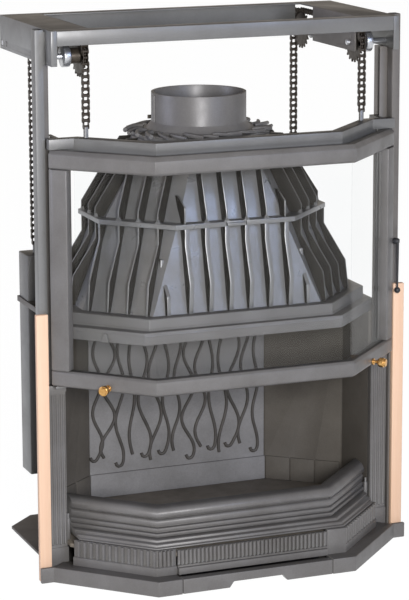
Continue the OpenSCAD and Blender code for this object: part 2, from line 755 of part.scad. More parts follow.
module weight_left() {
  color("#8b8886") seat() handed(-1) weight_shape();
}
module weight_right() {
  color("#8b8886") seat() weight_shape();
}
module lift_half() {
  z0 = lift_z;
  z1 = lift_z + lift_h;
  fy = -post_y - 19;
  knee = lift_a + lift_y + fy;
  end = guide_in - 2;
  back = -post_y + 2;
  difference() {
    translate([0, 0, z0]) linear_extrude(lift_h) polygon([
      [0, -lift_y], [lift_a, -lift_y], [knee, fy], [lift_end, fy], [lift_end, back],
      [lift_a + lift_y + back - lift_d * root2, back], [lift_a - lift_d * turn, -lift_y + lift_d], [0, -lift_y + lift_d]
    ]);
    translate([0, 0, z0 - 1]) linear_extrude(lift_h - 3) polygon([
      [-1, -lift_y + 4], [lift_a - 4 * turn, -lift_y + 4], [knee - 4 * turn, fy + 4],
      [hood_side() - 5, fy + 4], [hood_side() - 5, back + 1], [-1, back + 1]
    ]);
  }
  block(chain_x - 4, chain_x + 4, chain_front_y - 4, chain_front_y + 4, z1, lug_z - gap);
  block(end - 10, end, back, guide_y + 3.5, z0, z1);
  block(end - 10, guide_in + guide_w - 4, guide_y + 3.5, guide_y + guide_d - 3.5, z0 - 20, z1);
}
// The bar behind each stile, and the plate below the door that carries its lower pin.
module side_bar(plate) {
  block(fire_x + 7, fire_x + 23, -19, -14, door_z - 4.6, lift_z);
  if (plate) block(fire_x + 7, hinge_x + 6, -hinge_y - 6, -19, door_z - 4.6, door_z - 0.6);
}
module carriage() {
  color("#74716d") seat() union() {
    pair() lift_half();
    side_bar(false);
    handed(-1) {
      side_bar(true);
      translate([hinge_x, -hinge_y, door_z - 2]) cylinder(d = pin_d, h = 18);
      translate([hinge_x, -hinge_y, door_z + door_h - 16]) cylinder(d = pin_d, h = 18);
    }
  }
}
module hinge_holes() {
  handed(-1) {
    translate([hinge_x, -hinge_y, door_z - 1]) cylinder(d = pin_d + 0.2, h = 18);
    translate([hinge_x, -hinge_y, door_z + door_h - 17.5]) cylinder(d = pin_d + 0.2, h = 20);
  }
}
module door_rail_top() {
  z1 = door_z + door_h;
  color("#8a8c91") seat() difference() {
    bay(door_a, door_y, door_end, door_t, z1 - rail_top, z1);
    hinge_holes();
  }
}
module door_rail_bottom() {
  color("#8a8c91") seat() difference() {
    bay(door_a, door_y, door_end, door_t, door_z, door_z + rail_low);
    hinge_holes();
    knob_place() translate([0, 0, -14]) cylinder(d = 7.4, h = 20);
  }
}
module door_stiles() {
  z0 = door_z + rail_low;
  z1 = door_z + door_h - rail_top;
  far = (door_end + door_end - door_a - door_y) / root2;
  color("#8a8c91") seat() pair() intersection() {
    bay(door_a, door_y, door_end, door_t, z0, z1);
    rotate([0, 0, 45]) block(far - stile_w, far + 1, -500, 0, z0 - 1, z1 + 1);
  }
}
module glass_front() {
  color("#cfd8dc", 0.3) seat() glass(glass_a() - 1);
}
function glass_a() = door_a - door_t / 2 * turn;
module glass(to) {
  z0 = door_z + rail_low + gap;
  z1 = door_z + door_h - rail_top - gap;
  block(-to, to, -door_y + door_t / 2 - glass_t / 2, -door_y + door_t / 2 + glass_t / 2, z0, z1);
}
module glass_sides() {
  z0 = door_z + rail_low + gap;
  z1 = door_z + door_h - rail_top - gap;
  reach = (door_end - stile_w / root2 - door_t / root2 - glass_a()) * root2;
  color("#cfd8dc", 0.3) seat() pair() translate([glass_a(), -door_y + door_t / 2, 0]) rotate([0, 0, 45])
    block(1.2, reach - 1, -glass_t / 2, glass_t / 2, z0, z1);
}
module knob_place() {
  x = (door_a + door_y + 163.5) / 2;
  pair() translate([x, -door_a - door_y + x, door_z + 10]) rotate([0, 90, -45]) children();
}
module door_knobs() {
  color("#c88c3c") seat() knob_place() union() {
    translate([0, 0, -14]) cylinder(d = 7.4, h = 32);
    cylinder(d = 14, h = 4);
    translate([0, 0, 12]) cylinder(d1 = 13, d2 = 20, h = 4);
    translate([0, 0, 16]) cylinder(d = 20, h = 6);
    translate([0, 0, 26]) cylinder(d = 16, h = 4);
    translate([0, 0, 22]) cylinder(d = 20, h = 4);
  }
}
module latch_lever() {
  color("#2f3032") seat() translate([door_end - 4, -door_y + door_end - 4 - door_a, door_z + 245])
    rotate([0, 0, -45]) union() {
      translate([gap, 0, 0]) rotate([0, 90, 0]) cylinder(d = 14, h = 13);
      translate([10.5, 0, -104]) cylinder(d = 6, h = 104);
      translate([10.5, 0, -108]) sphere(d = 16);
    }
}

base_plate();
plinth_left();
plinth_right();
ash_drawer_front();
ash_pan();
fluted_band_left();
fluted_band_right();
air_flap();
log_guard();
guard_pins();
hearth_plate();
grate();
fireback();
wall_left();
wall_right();
smoke_baffle();
column_left();
column_right();
hood_base();
hood_lower();
hood_flange();
hood_upper();
hood_cap();
flue_collar();
damper_plate();
side_channel_left();
side_channel_right();
inner_web_left();
inner_web_right();
front_rail();
rear_rail();
post_left();
post_right();
guide_left();
guide_right();
batten_left();
batten_right();
axles();
strap_left();
strap_right();
sprocket_front_left();
sprocket_front_right();
sprocket_rear_left();
sprocket_rear_right();
chain_top_left();
chain_top_right();
chain_front_left();
chain_front_right();
chain_rear_left();
chain_rear_right();
weight_left();
weight_right();
carriage();
door_rail_top();
door_rail_bottom();
door_stiles();
glass_front();
glass_sides();
door_knobs();
latch_lever();
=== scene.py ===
"""Looks of a cast-iron fireplace insert with a bay-shaped lifting door on two chains.

Every class below is one sub-assembly. Its fields hold sizes in millimetres, measured as in the
CAD source: X to the right, Y backwards from the line of the posts, Z up from the floor.
"""

import json
import logging
import math
from collections.abc import Callable, Iterator
from contextlib import contextmanager
from dataclasses import dataclass
from enum import Enum
from itertools import pairwise

import bmesh
import bpy
from mathutils import Euler, Matrix, Vector

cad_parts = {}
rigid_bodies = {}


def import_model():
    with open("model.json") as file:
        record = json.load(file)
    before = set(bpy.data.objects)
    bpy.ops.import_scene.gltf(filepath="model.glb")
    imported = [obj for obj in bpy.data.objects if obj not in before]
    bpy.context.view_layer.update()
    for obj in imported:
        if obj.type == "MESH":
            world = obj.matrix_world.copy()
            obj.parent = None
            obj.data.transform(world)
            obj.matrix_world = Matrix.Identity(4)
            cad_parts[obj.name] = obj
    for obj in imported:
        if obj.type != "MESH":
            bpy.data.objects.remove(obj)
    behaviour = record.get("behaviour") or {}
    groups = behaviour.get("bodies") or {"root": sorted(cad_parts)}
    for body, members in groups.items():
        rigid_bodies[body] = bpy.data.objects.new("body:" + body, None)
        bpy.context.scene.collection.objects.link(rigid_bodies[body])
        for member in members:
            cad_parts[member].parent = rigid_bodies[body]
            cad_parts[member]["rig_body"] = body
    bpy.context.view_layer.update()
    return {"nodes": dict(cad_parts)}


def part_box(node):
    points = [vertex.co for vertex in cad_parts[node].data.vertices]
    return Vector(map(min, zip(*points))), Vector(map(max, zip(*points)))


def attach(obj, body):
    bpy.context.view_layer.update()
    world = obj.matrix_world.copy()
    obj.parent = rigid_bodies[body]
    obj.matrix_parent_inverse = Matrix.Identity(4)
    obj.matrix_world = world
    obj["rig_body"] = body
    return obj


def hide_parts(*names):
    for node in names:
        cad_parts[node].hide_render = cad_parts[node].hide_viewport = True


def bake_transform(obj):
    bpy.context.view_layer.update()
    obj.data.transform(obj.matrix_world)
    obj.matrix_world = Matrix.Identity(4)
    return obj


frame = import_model()

LOG = logging.getLogger("insert")
MM = 0.001
# Where the post line lies in the shared frame, in millimetres.
POST_LINE_Y = -68.5
DIAGONAL = math.sqrt(0.5)
MITRE = math.tan(math.radians(22.5))
# Corners of a CAD mesh, and of a turned seam, that are nearer than this, in metres, are one.
SAME_CORNER = 0.00002
SAME_SEAM = 0.00001

Outline = list[tuple[float, float]]


def at(x: float, y: float, z: float) -> Vector:
    """A point given in millimetres from the post line, as metres in the shared frame."""
    return Vector((x * MM, (y + POST_LINE_Y) * MM, z * MM))


def linear(hex_colour: str) -> tuple[float, float, float, float]:
    """Turns an sRGB hex colour into linear light.

    Args:
        hex_colour: Six hex digits after a hash sign.

    Returns:
        The linear red, green, blue and an alpha of one.
    """
    parts = [int(hex_colour[i : i + 2], 16) / 255 for i in (1, 3, 5)]
    light = [c / 12.92 if c <= 0.04045 else ((c + 0.055) / 1.055) ** 2.4 for c in parts]
    return (light[0], light[1], light[2], 1.0)


# Materials


def add_node(
    tree: bpy.types.NodeTree, kind: str, settings: dict | None = None, inputs: dict | None = None
) -> bpy.types.Node:
    """Adds a node, sets its options, and sets or links its inputs.

    Args:
        tree: The node tree that gets the node.
        kind: The node's type name.
        settings: Options of the node by name.
        inputs: Values, or sockets to link from, by input name or number.

    Returns:
        The new node.
    """
    node = tree.nodes.new(kind)
    for name, value in (settings or {}).items():
        setattr(node, name, value)
    for name, value in (inputs or {}).items():
        if isinstance(value, bpy.types.NodeSocket):
            tree.links.new(value, node.inputs[name])
        else:
            node.inputs[name].default_value = value
    return node


# The dark brown painted as shade on faces that look up, and how far up a face looks where this painted
# shade starts and is full.
TOP_SHADE_TONE = "#2b2722"
TOP_SHADE_STARTS = 0.86
TOP_SHADE_FULL = 0.985
# How much the fine grain adds to the blotches, and which part of their sum is drawn.
GRAIN_SHARE = 0.35
MOTTLE_LOW = 0.42
MOTTLE_HIGH = 0.95
# The wood's pattern is drawn out along the batten by this scale on Z.
ALONG_BATTEN = (1.0, 1.0, 0.04)
# How steeply the glass turns to a mirror at its edges, and how much of one it becomes.
EDGE_BLEND = 0.25
EDGE_SHEEN = 0.16


@dataclass(frozen=True)
class Finish:
    """A painted or bare metal surface with soft blotches and a fine grain.

    The grain is drawn coarser than life where the real one would be under a pixel. Faces that
    look straight up are painted dark brown as shade and lose their gloss.
    """

    name: str
    colour: str
    shade: str
    slot: str
    metallic: float = 0.0
    roughness: float = 0.5
    blotch_mm: float = 60.0
    grain_mm: float = 2.5
    grain_depth_mm: float = 0.12
    mottle: float = 0.5
    spread: float = 0.08
    # How strongly faces that look straight up are painted dark as shade.
    top_shade: float = 0.45
    gloss: float = 0.4
    stretch: tuple[float, float, float] = (1.0, 1.0, 1.0)

    def surface(self, tree: bpy.types.NodeTree) -> bpy.types.NodeSocket:
        """Builds the shader.

        Args:
            tree: The material's node tree.

        Returns:
            The shader's output.
        """
        place = add_node(tree, "ShaderNodeTexCoord").outputs["Object"]
        drawn = add_node(tree, "ShaderNodeMapping", None, {"Vector": place, "Scale": self.stretch})
        blotch = add_node(
            tree,
            "ShaderNodeTexNoise",
            None,
            {
                "Vector": drawn.outputs[0],
                "Scale": 1 / (self.blotch_mm * MM),
                "Detail": 5.0,
                "Roughness": 0.6,
            },
        )
        grain = add_node(
            tree,
            "ShaderNodeTexNoise",
            None,
            {"Vector": drawn.outputs[0], "Scale": 1 / (self.grain_mm * MM), "Detail": 3.0},
        )
        mixed = add_node(
            tree,
            "ShaderNodeMath",
            {"operation": "MULTIPLY_ADD"},
            {0: grain.outputs[0], 1: GRAIN_SHARE, 2: blotch.outputs[0]},
        )
        share = add_node(
            tree,
            "ShaderNodeMapRange",
            None,
            {
                "Value": mixed.outputs[0],
                "From Min": MOTTLE_LOW,
                "From Max": MOTTLE_HIGH,
                "To Max": self.mottle * 2,
            },
        )
        tint = add_node(
            tree,
            "ShaderNodeMix",
            {"data_type": "RGBA"},
            {0: share.outputs[0], 6: linear(self.colour), 7: linear(self.shade)},
        )
        facing = add_node(tree, "ShaderNodeNewGeometry").outputs["Normal"]
        upward = add_node(tree, "ShaderNodeSeparateXYZ", None, {0: facing}).outputs[2]
        # Painted shade: faces that look straight up turn dark brown, and there the gloss goes too.
        top_shaded = add_node(
            tree,
            "ShaderNodeMapRange",
            None,
            {"Value": upward, "From Min": TOP_SHADE_STARTS, "From Max": TOP_SHADE_FULL, "To Max": self.top_shade},
        )
        tint = add_node(
            tree,
            "ShaderNodeMix",
            {"data_type": "RGBA"},
            {0: top_shaded.outputs[0], 6: tint.outputs[2], 7: linear(TOP_SHADE_TONE)},
        )
        rough = add_node(
            tree,
            "ShaderNodeMapRange",
            None,
            {
                "Value": blotch.outputs[0],
                "From Min": 0.3,
                "From Max": 0.7,
                "To Min": self.roughness - self.spread,
                "To Max": self.roughness + self.spread,
            },
        )
        gloss = add_node(
            tree,
            "ShaderNodeMapRange",
            None,
            {"Value": top_shaded.outputs[0], "To Min": self.gloss, "To Max": 0.0},
        )
        bump = add_node(
            tree,
            "ShaderNodeBump",
            None,
            {"Height": grain.outputs[0], "Distance": self.grain_depth_mm * MM, "Strength": 1.0},
        )
        shader = add_node(
            tree,
            "ShaderNodeBsdfPrincipled",
            None,
            {
                "Base Color": tint.outputs[2],
                "Metallic": self.metallic,
                "Specular IOR Level": gloss.outputs[0],
                "Roughness": rough.outputs[0],
                "Normal": bump.outputs[0],
            },
        )
        return shader.outputs[0]

    def material(self) -> bpy.types.Material:
        """Returns the finish's material, made on first use."""
        known = bpy.data.materials.get(self.name)
        if known:
            return known
        made = bpy.data.materials.new(self.name)
        made.use_nodes = True
        made.node_tree.nodes.clear()
        output = add_node(made.node_tree, "ShaderNodeOutputMaterial")
        made.node_tree.links.new(self.surface(made.node_tree), output.inputs[0])
        return made


@dataclass(frozen=True)
class PlanedWood(Finish):
    """Softwood planed smooth: pale bands of early and late wood that run up the batten."""

    def surface(self, tree: bpy.types.NodeTree) -> bpy.types.NodeSocket:
        """Builds the shader.

        Args:
            tree: The material's node tree.

        Returns:
            The shader's output.
        """
        place = add_node(tree, "ShaderNodeTexCoord").outputs["Object"]
        drawn = add_node(tree, "ShaderNodeMapping", None, {"Vector": place, "Scale": ALONG_BATTEN})
        rings = add_node(
            tree,
            "ShaderNodeTexNoise",
            None,
            {
                "Vector": drawn.outputs[0],
                "Scale": 1 / (self.grain_mm * MM),
                "Detail": 6.0,
                "Distortion": 0.6,
            },
        )
        tint = add_node(
            tree,
            "ShaderNodeMix",
            {"data_type": "RGBA"},
            {0: rings.outputs[0], 6: linear(self.colour), 7: linear(self.shade)},
        )
        bump = add_node(
            tree,
            "ShaderNodeBump",
            None,
            {"Height": rings.outputs[0], "Distance": self.grain_depth_mm * MM, "Strength": 0.6},
        )
        shader = add_node(
            tree,
            "ShaderNodeBsdfPrincipled",
            None,
            {"Base Color": tint.outputs[2], "Roughness": self.roughness, "Normal": bump.outputs[0]},
        )
        return shader.outputs[0]


@dataclass(frozen=True)
class ClearGlass(Finish):
    """Ceramic glass: clear, a trace of smoke, and a mirror sheen at grazing angles."""

    def surface(self, tree: bpy.types.NodeTree) -> bpy.types.NodeSocket:
        """Builds the shader.

        Args:
            tree: The material's node tree.

        Returns:
            The shader's output.
        """
        place = add_node(tree, "ShaderNodeTexCoord").outputs["Object"]
        haze = add_node(
            tree,
            "ShaderNodeTexNoise",
            None,
            {"Vector": place, "Scale": 1 / (self.blotch_mm * MM), "Detail": 2.0},
        )
        tint = add_node(
            tree,
            "ShaderNodeMix",
            {"data_type": "RGBA"},
            {0: haze.outputs[0], 6: linear(self.colour), 7: linear(self.shade)},
        )
        through = add_node(tree, "ShaderNodeBsdfTransparent", None, {0: tint.outputs[2]})
        sheen = add_node(tree, "ShaderNodeBsdfGlossy", None, {"Roughness": self.roughness})
        grazing = add_node(tree, "ShaderNodeLayerWeight", None, {"Blend": EDGE_BLEND}).outputs["Facing"]
        edge = add_node(tree, "ShaderNodeMath", {"operation": "MULTIPLY"}, {0: grazing, 1: EDGE_SHEEN})
        both = add_node(
            tree,
            "ShaderNodeMixShader",
            None,
            {0: edge.outputs[0], 1: through.outputs[0], 2: sheen.outputs[0]},
        )
        return both.outputs[0]


class Look(Enum):
    """The finishes of the insert, named for what the real surface is; some darker ones paint shade."""

    # Sand-cast iron under a thin grey stove paint: half matt, lightly pitted, in soft blotches.
    CAST_GREY = Finish(
        "cast_iron_stove_paint",
        "#7b7976",
        "#66635f",
        "cast_iron_grey",
        metallic=0.1,
        roughness=0.42,
        blotch_mm=90,
    )
    # The hood's castings catch more light and show their moulding sand.
    CAST_HOOD = Finish(
        "cast_iron_hood_paint",
        "#848484",
        "#716f6c",
        "cast_iron_grey",
        metallic=0.3,
        roughness=0.33,
        blotch_mm=40,
        grain_mm=3.0,
        grain_depth_mm=0.04,
        gloss=0.9,
    )
    # The flanks of the fins, painted near black as the shade between the fins.
    FLANK_PAINTED_SHADE = Finish(
        "cast_iron_fin_flank_painted_shade",
        "#38352f",
        "#292622",
        "cast_iron_grey",
        roughness=0.6,
        blotch_mm=40,
        gloss=0.15,
    )
    # Iron inside the fire: unpainted, brown grey and dull.
    CAST_FIRE = Finish(
        "cast_iron_fire_side",
        "#8a8886",
        "#6f6d6a",
        "cast_iron_dark",
        roughness=0.72,
        blotch_mm=120,
        grain_mm=3.0,
    )
    # The side walls of the fire, coloured darker and browner than the fireback: painted shade inside the
    # firebox.
    CAST_WALL = Finish(
        "cast_iron_smoked_wall",
        "#625d55",
        "#504b44",
        "cast_iron_dark",
        roughness=0.75,
        blotch_mm=120,
        grain_mm=3.0,
    )
    # Raised lines on the fireback, coloured darker than the plate around them.
    CAST_RELIEF = Finish(
        "cast_iron_relief", "#57534e", "#413e3a", "cast_iron_dark", roughness=0.6, blotch_mm=30
    )
    # Iron in the ash zone: sooty and rough.
    CAST_SOOT = Finish(
        "cast_iron_sooty",
        "#968d80",
        "#7c7468",
        "cast_iron_dark",
        roughness=0.8,
        blotch_mm=50,
        top_shade=0.1,
    )
    # Rolled steel section under a grey primer: smooth, with faint blotches and a fine grain.
    PRIMED = Finish(
        "rolled_steel_grey_primer",
        "#81817f",
        "#6f6e6b",
        "primed_steel",
        metallic=0.25,
        roughness=0.36,
        # The primer's upward faces take a strong painted shade.
        top_shade=0.7,
        blotch_mm=110,
        grain_mm=1.8,
        grain_depth_mm=0.05,
    )
    # The same steel, duller, and coloured darker and warmer as painted shade, for parts low and deep in
    # the frame and the right post.
    PRIMED_DULL_SHADED = Finish(
        "rolled_steel_dull_primer",
        "#75716c",
        "#635f5a",
        "primed_steel",
        metallic=0.1,
        roughness=0.55,
        blotch_mm=120,
        grain_mm=1.8,
        grain_depth_mm=0.05,
    )
    # Roller chain steel, oiled and dark.
    CHAIN = Finish(
        "oiled_chain_steel",
        "#4c453d",
        "#383129",
        "dark_steel",
        metallic=0.5,
        roughness=0.42,
        blotch_mm=9,
        grain_mm=1.5,
    )
    # Turned steel left bright: discs, axles and lugs.
    BRIGHT = Finish(
        "turned_bright_steel",
        "#cfd0d2",
        "#aeb0b4",
        "plain_steel",
        metallic=0.85,
        roughness=0.3,
        blotch_mm=20,
        grain_mm=1.2,
    )
    # Turned and lacquered brass.
    BRASS = Finish(
        "polished_brass",
        "#dcb273",
        "#c08c4c",
        "brass",
        metallic=1.0,
        roughness=0.3,
        blotch_mm=14,
        grain_depth_mm=0.02,
    )
    # Blackened steel of the latch.
    BLACK = Finish(
        "blackened_steel", "#3a3b3e", "#2a2a2c", "dark_steel", metallic=0.3, roughness=0.45, blotch_mm=12
    )
    # Planed softwood of the battens.
    PINE = PlanedWood(
        "planed_softwood", "#f8d5b6", "#f0c49f", "pine", roughness=0.6, grain_mm=5.0, grain_depth_mm=0.1
    )
    # Clear ceramic glass of the door.
    GLASS = ClearGlass(
        "clear_ceramic_glass", "#ffffff", "#fbfcfc", "ceramic_glass", roughness=0.05, blotch_mm=200
    )


# Modelling by hand


def deselect() -> None:
    """Deselects every object and leaves object mode as it is."""
    for obj in bpy.context.selected_objects:
        obj.select_set(False)


def take(*objects: bpy.types.Object) -> bpy.types.Object:
    """Selects only these objects, makes the first one active and returns it."""
    deselect()
    for obj in objects:
        obj.select_set(True)
    bpy.context.view_layer.objects.active = objects[0]
    return objects[0]


@contextmanager
def editing(obj: bpy.types.Object, select: str = "SELECT") -> Iterator[bmesh.types.BMesh]:
    """Opens a mesh in edit mode for operators and closes it again.

    Args:
        obj: The mesh object.
        select: SELECT or DESELECT, applied to the whole mesh first.

    Returns:
        The mesh in edit mode, for as long as the block lasts.
    """
    take(obj)
    bpy.ops.object.mode_set(mode="EDIT")
    bpy.ops.mesh.select_mode(type="VERT")
    bpy.ops.mesh.select_all(action=select)
    yield bmesh.from_edit_mesh(obj.data)
    bpy.ops.object.mode_set(mode="OBJECT")


def rename(obj: bpy.types.Object, name: str) -> bpy.types.Object:
    """Names an object and its data.

    Args:
        obj: The object.
        name: Its new name.

    Returns:
        The object.
    """
    obj.name = name
    obj.data.name = name
    return obj


def copy_of(obj: bpy.types.Object, name: str, matrix: Matrix | None = None) -> bpy.types.Object:
    """Copies a piece with its own mesh.

    Args:
        obj: The piece to copy.
        name: The copy's name.
        matrix: How the copy's mesh is placed, if not as the first one's.

    Returns:
        The copy.
    """
    twin = obj.copy()
    twin.data = obj.data.copy()
    for key in [k for k in twin.keys() if k.startswith("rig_")]:
        del twin[key]
    twin.parent = None
    twin.hide_render = False
    twin.hide_viewport = False
    bpy.context.scene.collection.objects.link(twin)
    if matrix is not None:
        twin.data.transform(matrix)
        if matrix.determinant() < 0:
            twin.data.flip_normals()
    return rename(twin, name)


def mirrored(obj: bpy.types.Object, name: str) -> bpy.types.Object:
    """Copies a piece to the other side of the middle plane."""
    return copy_of(obj, name, Matrix.Scale(-1, 4, (1, 0, 0)))


def joined(name: str, parts: list[bpy.types.Object]) -> bpy.types.Object:
    """Joins parts into one piece of that name.

    Args:
        name: The piece's name.
        parts: The meshes, which may be just one.

    Returns:
        The piece.
    """
    take(*parts)
    if len(parts) > 1:
        bpy.ops.object.join()
    return rename(bpy.context.view_layer.objects.active, name)


def draw_outline(name: str, points: list[Vector]) -> bpy.types.Object:
    """Draws a closed flat outline by extruding one corner from point to point, and fills it.

    Args:
        name: The new object's name.
        points: The corners in metres, in order.

    Returns:
        An object with one face.
    """
    deselect()
    bpy.ops.mesh.primitive_plane_add(size=0.001, location=(0, 0, 0))
    obj = rename(bpy.context.object, name)
    with editing(obj):
        bpy.ops.mesh.merge(type="CENTER")
        bpy.ops.transform.translate(value=points[0])
        for here, there in pairwise(points):
            bpy.ops.mesh.extrude_vertices_move(TRANSFORM_OT_translate={"value": there - here})
        bpy.ops.mesh.select_all(action="SELECT")
        bpy.ops.mesh.edge_face_add()
    return obj


def outward(obj: bpy.types.Object) -> None:
    """Turns a closed mesh's faces outwards."""
    with editing(obj):
        bpy.ops.mesh.normals_make_consistent(inside=False)


def prism(name: str, points: list[Vector], depth: Vector) -> bpy.types.Object:
    """Draws an outline and extrudes it.

    Args:
        name: The new object's name.
        points: The outline's corners in metres.
        depth: How far and which way it is extruded.

    Returns:
        A closed solid.
    """
    obj = draw_outline(name, points)
    with editing(obj):
        bpy.ops.mesh.extrude_region_move(TRANSFORM_OT_translate={"value": depth})
        bpy.ops.mesh.select_all(action="SELECT")
        bpy.ops.mesh.normals_make_consistent(inside=False)
    return obj


def move_corners(obj: bpy.types.Object, here: list[Vector], there: list[Vector]) -> None:
    """Extrudes the selected face and puts each of its new corners where it belongs.

    Args:
        obj: The mesh object, its last face selected.
        here: Where the corners are.
        there: Where they go, in the same order.
    """
    bpy.ops.mesh.extrude_region_move(TRANSFORM_OT_translate={"value": (0, 0, 0)})
    mesh = bmesh.from_edit_mesh(obj.data)
    for vertex in [v for v in mesh.verts if v.select]:
        nearest = min(range(len(here)), key=lambda i: (here[i] - vertex.co).length_squared)
        vertex.co = there[nearest]
    bmesh.update_edit_mesh(obj.data)


def loft(name: str, low: list[Vector], high: list[Vector]) -> bpy.types.Object:
    """Raises one outline to another with as many corners.

    Args:
        name: The new object's name.
        low: The lower outline's corners in metres.
        high: The upper outline's corners in metres.

    Returns:
        A closed solid.
    """
    obj = draw_outline(name, low)
    with editing(obj):
        move_corners(obj, low, high)
    outward(obj)
    return obj


def hollow(obj: bpy.types.Object, corners: int, wall: float) -> bpy.types.Object:
    """Opens a solid's two ends and leaves a wall of even thickness inside its faces.

    Args:
        obj: A lofted solid.
        corners: How many corners its end faces have.
        wall: Thickness in millimetres.

    Returns:
        The shell.
    """
    with editing(obj, "DESELECT") as mesh:
        bpy.ops.mesh.select_mode(type="FACE")
        for face in mesh.faces:
            face.select = len(face.verts) == corners
        bpy.ops.mesh.delete(type="ONLY_FACE")
    take(obj)
    shell = obj.modifiers.new("Wall", "SOLIDIFY")
    shell.thickness = wall * MM
    shell.offset = -1.0
    shell.use_even_offset = True
    bpy.ops.object.modifier_apply(modifier=shell.name)
    return obj


def carve(obj: bpy.types.Object, *cutters: bpy.types.Object) -> bpy.types.Object:
    """Cuts solids out of a piece and removes them."""
    for cutter in cutters:
        take(obj)
        cut = obj.modifiers.new("Cut", "BOOLEAN")
        cut.operation = "DIFFERENCE"
        cut.solver = "EXACT"
        cut.object = cutter
        bpy.ops.object.modifier_apply(modifier=cut.name)
        bpy.data.objects.remove(cutter)
    return obj


def bead(name: str, points: list[Vector], radius: float) -> bpy.types.Object:
    """A round bead with closed ends that runs smoothly past points.

    Args:
        name: The new object's name.
        points: The bead's course in metres.
        radius: Its radius in millimetres.

    Returns:
        A closed solid.
    """
    deselect()
    bpy.ops.curve.primitive_nurbs_path_add(location=(0, 0, 0))
    curve = rename(bpy.context.object, name)
    curve.data.splines.clear()
    spline = curve.data.splines.new("NURBS")
    spline.points.add(len(points) - 1)
    for target, place in zip(spline.points, points):
        target.co = (place.x, place.y, place.z, 1.0)
    spline.use_endpoint_u = True
    spline.order_u = min(4, len(points))
    curve.data.resolution_u = 3
    curve.data.bevel_depth = radius * MM
    curve.data.bevel_resolution = 2
    curve.data.use_fill_caps = True
    take(curve)
    bpy.ops.object.convert(target="MESH")
    return rename(bpy.context.object, name)


def slab(name: str, low: Vector, high: Vector) -> bpy.types.Object:
    """An upright block between two opposite corners."""
    corners = [(low.x, low.y), (high.x, low.y), (high.x, high.y), (low.x, high.y)]
    return prism(name, [Vector((x, y, low.z)) for x, y in corners], Vector((0, 0, high.z - low.z)))


@dataclass(frozen=True)
class Station:
    """A place along a moulding: where it is in plan, and which way its section looks outwards."""

    x: float
    y: float
    out: tuple[float, float]

    def place(self, n: float, z: float) -> Vector:
        """The point that lies n outside the station at height z."""
        return at(self.x + self.out[0] * n, self.y + self.out[1] * n, z)


def sweep(name: str, section: Outline, stations: list[Station]) -> bpy.types.Object:
    """Runs a moulding's section through stations, mitred at each.

    Args:
        name: The new object's name.
        section: Corners as (outwards, up) in millimetres.
        stations: The places that it runs through.

    Returns:
        A closed solid.
    """
    rings = [[station.place(n, z) for n, z in section] for station in stations]
    obj = draw_outline(name, rings[0])
    take(obj)
    bpy.ops.object.mode_set(mode="EDIT")
    for here, there in pairwise(rings):
        move_corners(obj, here, there)
    bpy.ops.object.mode_set(mode="OBJECT")
    outward(obj)
    return obj


def bay_stations(a: float, y: float, end: float) -> list[Station]:
    """The stations of a three-facet bay.

    Args:
        a: Half width of the front facet.
        y: How far the front facet stands ahead of the post line.
        end: Half width at the ends of the side facets.

    Returns:
        Four stations, from the left end to the right end.
    """
    side = end - a - y
    return [
        Station(-end, side, (-DIAGONAL, -DIAGONAL)),
        Station(-a, -y, (-MITRE, -1.0)),
        Station(a, -y, (MITRE, -1.0)),
        Station(end, side, (DIAGONAL, -DIAGONAL)),
    ]


def bevel(
    obj: bpy.types.Object, width: float, segments: int = 2, angle: float = 35.0
) -> bpy.types.Object:
    """Rounds a piece's sharp edges with a modifier and applies it.

    Args:
        obj: The piece.
        width: Width of the rounding in millimetres.
        segments: Faces across the rounding.
        angle: Edges flatter than this, in degrees, stay as they are.

    Returns:
        The piece.
    """
    take(obj)
    rounding = obj.modifiers.new("Rounding", "BEVEL")
    rounding.width = width * MM
    rounding.segments = segments
    rounding.limit_method = "ANGLE"
    rounding.angle_limit = math.radians(angle)
    rounding.miter_outer = "MITER_ARC" if segments > 1 else "MITER_SHARP"
    bpy.ops.object.modifier_apply(modifier=rounding.name)
    return obj


def smooth(obj: bpy.types.Object, angle: float = 38.0) -> bpy.types.Object:
    """Smooths the shading across flat angles and keeps corners sharp.

    Args:
        obj: The piece.
        angle: Edges sharper than this, in degrees, stay sharp.

    Returns:
        The piece.
    """
    take(obj)
    bpy.ops.object.shade_smooth_by_angle(angle=math.radians(angle))
    return obj


def soften(node: str, width: float, segments: int = 2) -> bpy.types.Object:
    """Copies a CAD part, merges its facets and rounds its edges.

    Args:
        node: Name of the CAD part.
        width: Width of the rounding in millimetres.
        segments: Faces across the rounding.

    Returns:
        The new piece, not yet fitted.
    """
    piece = copy_of(frame["nodes"][node], node + "_piece")
    piece.data.materials.clear()
    with editing(piece):
        bpy.ops.mesh.remove_doubles(threshold=SAME_CORNER)
        bpy.ops.mesh.dissolve_limited(angle_limit=math.radians(0.8))
    return smooth(bevel(piece, width, segments))


def fit(piece: bpy.types.Object, look: Look, *nodes: str, body: str = "") -> bpy.types.Object:
    """Dresses a piece and fixes it to the body that it moves with.

    Args:
        piece: The finished mesh. One that has two materials already, as a hood tier with painted shade
            on its fin flanks, keeps them.
        look: Its finish.
        nodes: The CAD parts that it stands for.
        body: The body that it rides on, if not that of the first part.

    Returns:
        The piece.
    """
    if len(piece.data.materials) < 2:
        piece.data.materials.clear()
        piece.data.materials.append(look.value.material())
    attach(piece, body or frame["nodes"][nodes[0]]["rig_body"])
    if nodes:
        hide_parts(*nodes)
    LOG.info("%s: %d faces, %s", piece.name, len(piece.data.polygons), look.name.lower())
    return piece


def dress(node: str, look: Look) -> None:
    """Gives a CAD part that keeps its own mesh a finish.

    Args:
        node: Name of the CAD part.
        look: Its finish.
    """
    part = frame["nodes"][node]
    part.data.materials.clear()
    part.data.materials.append(look.value.material())
    LOG.info("%s: CAD part, %s", node, look.name.lower())


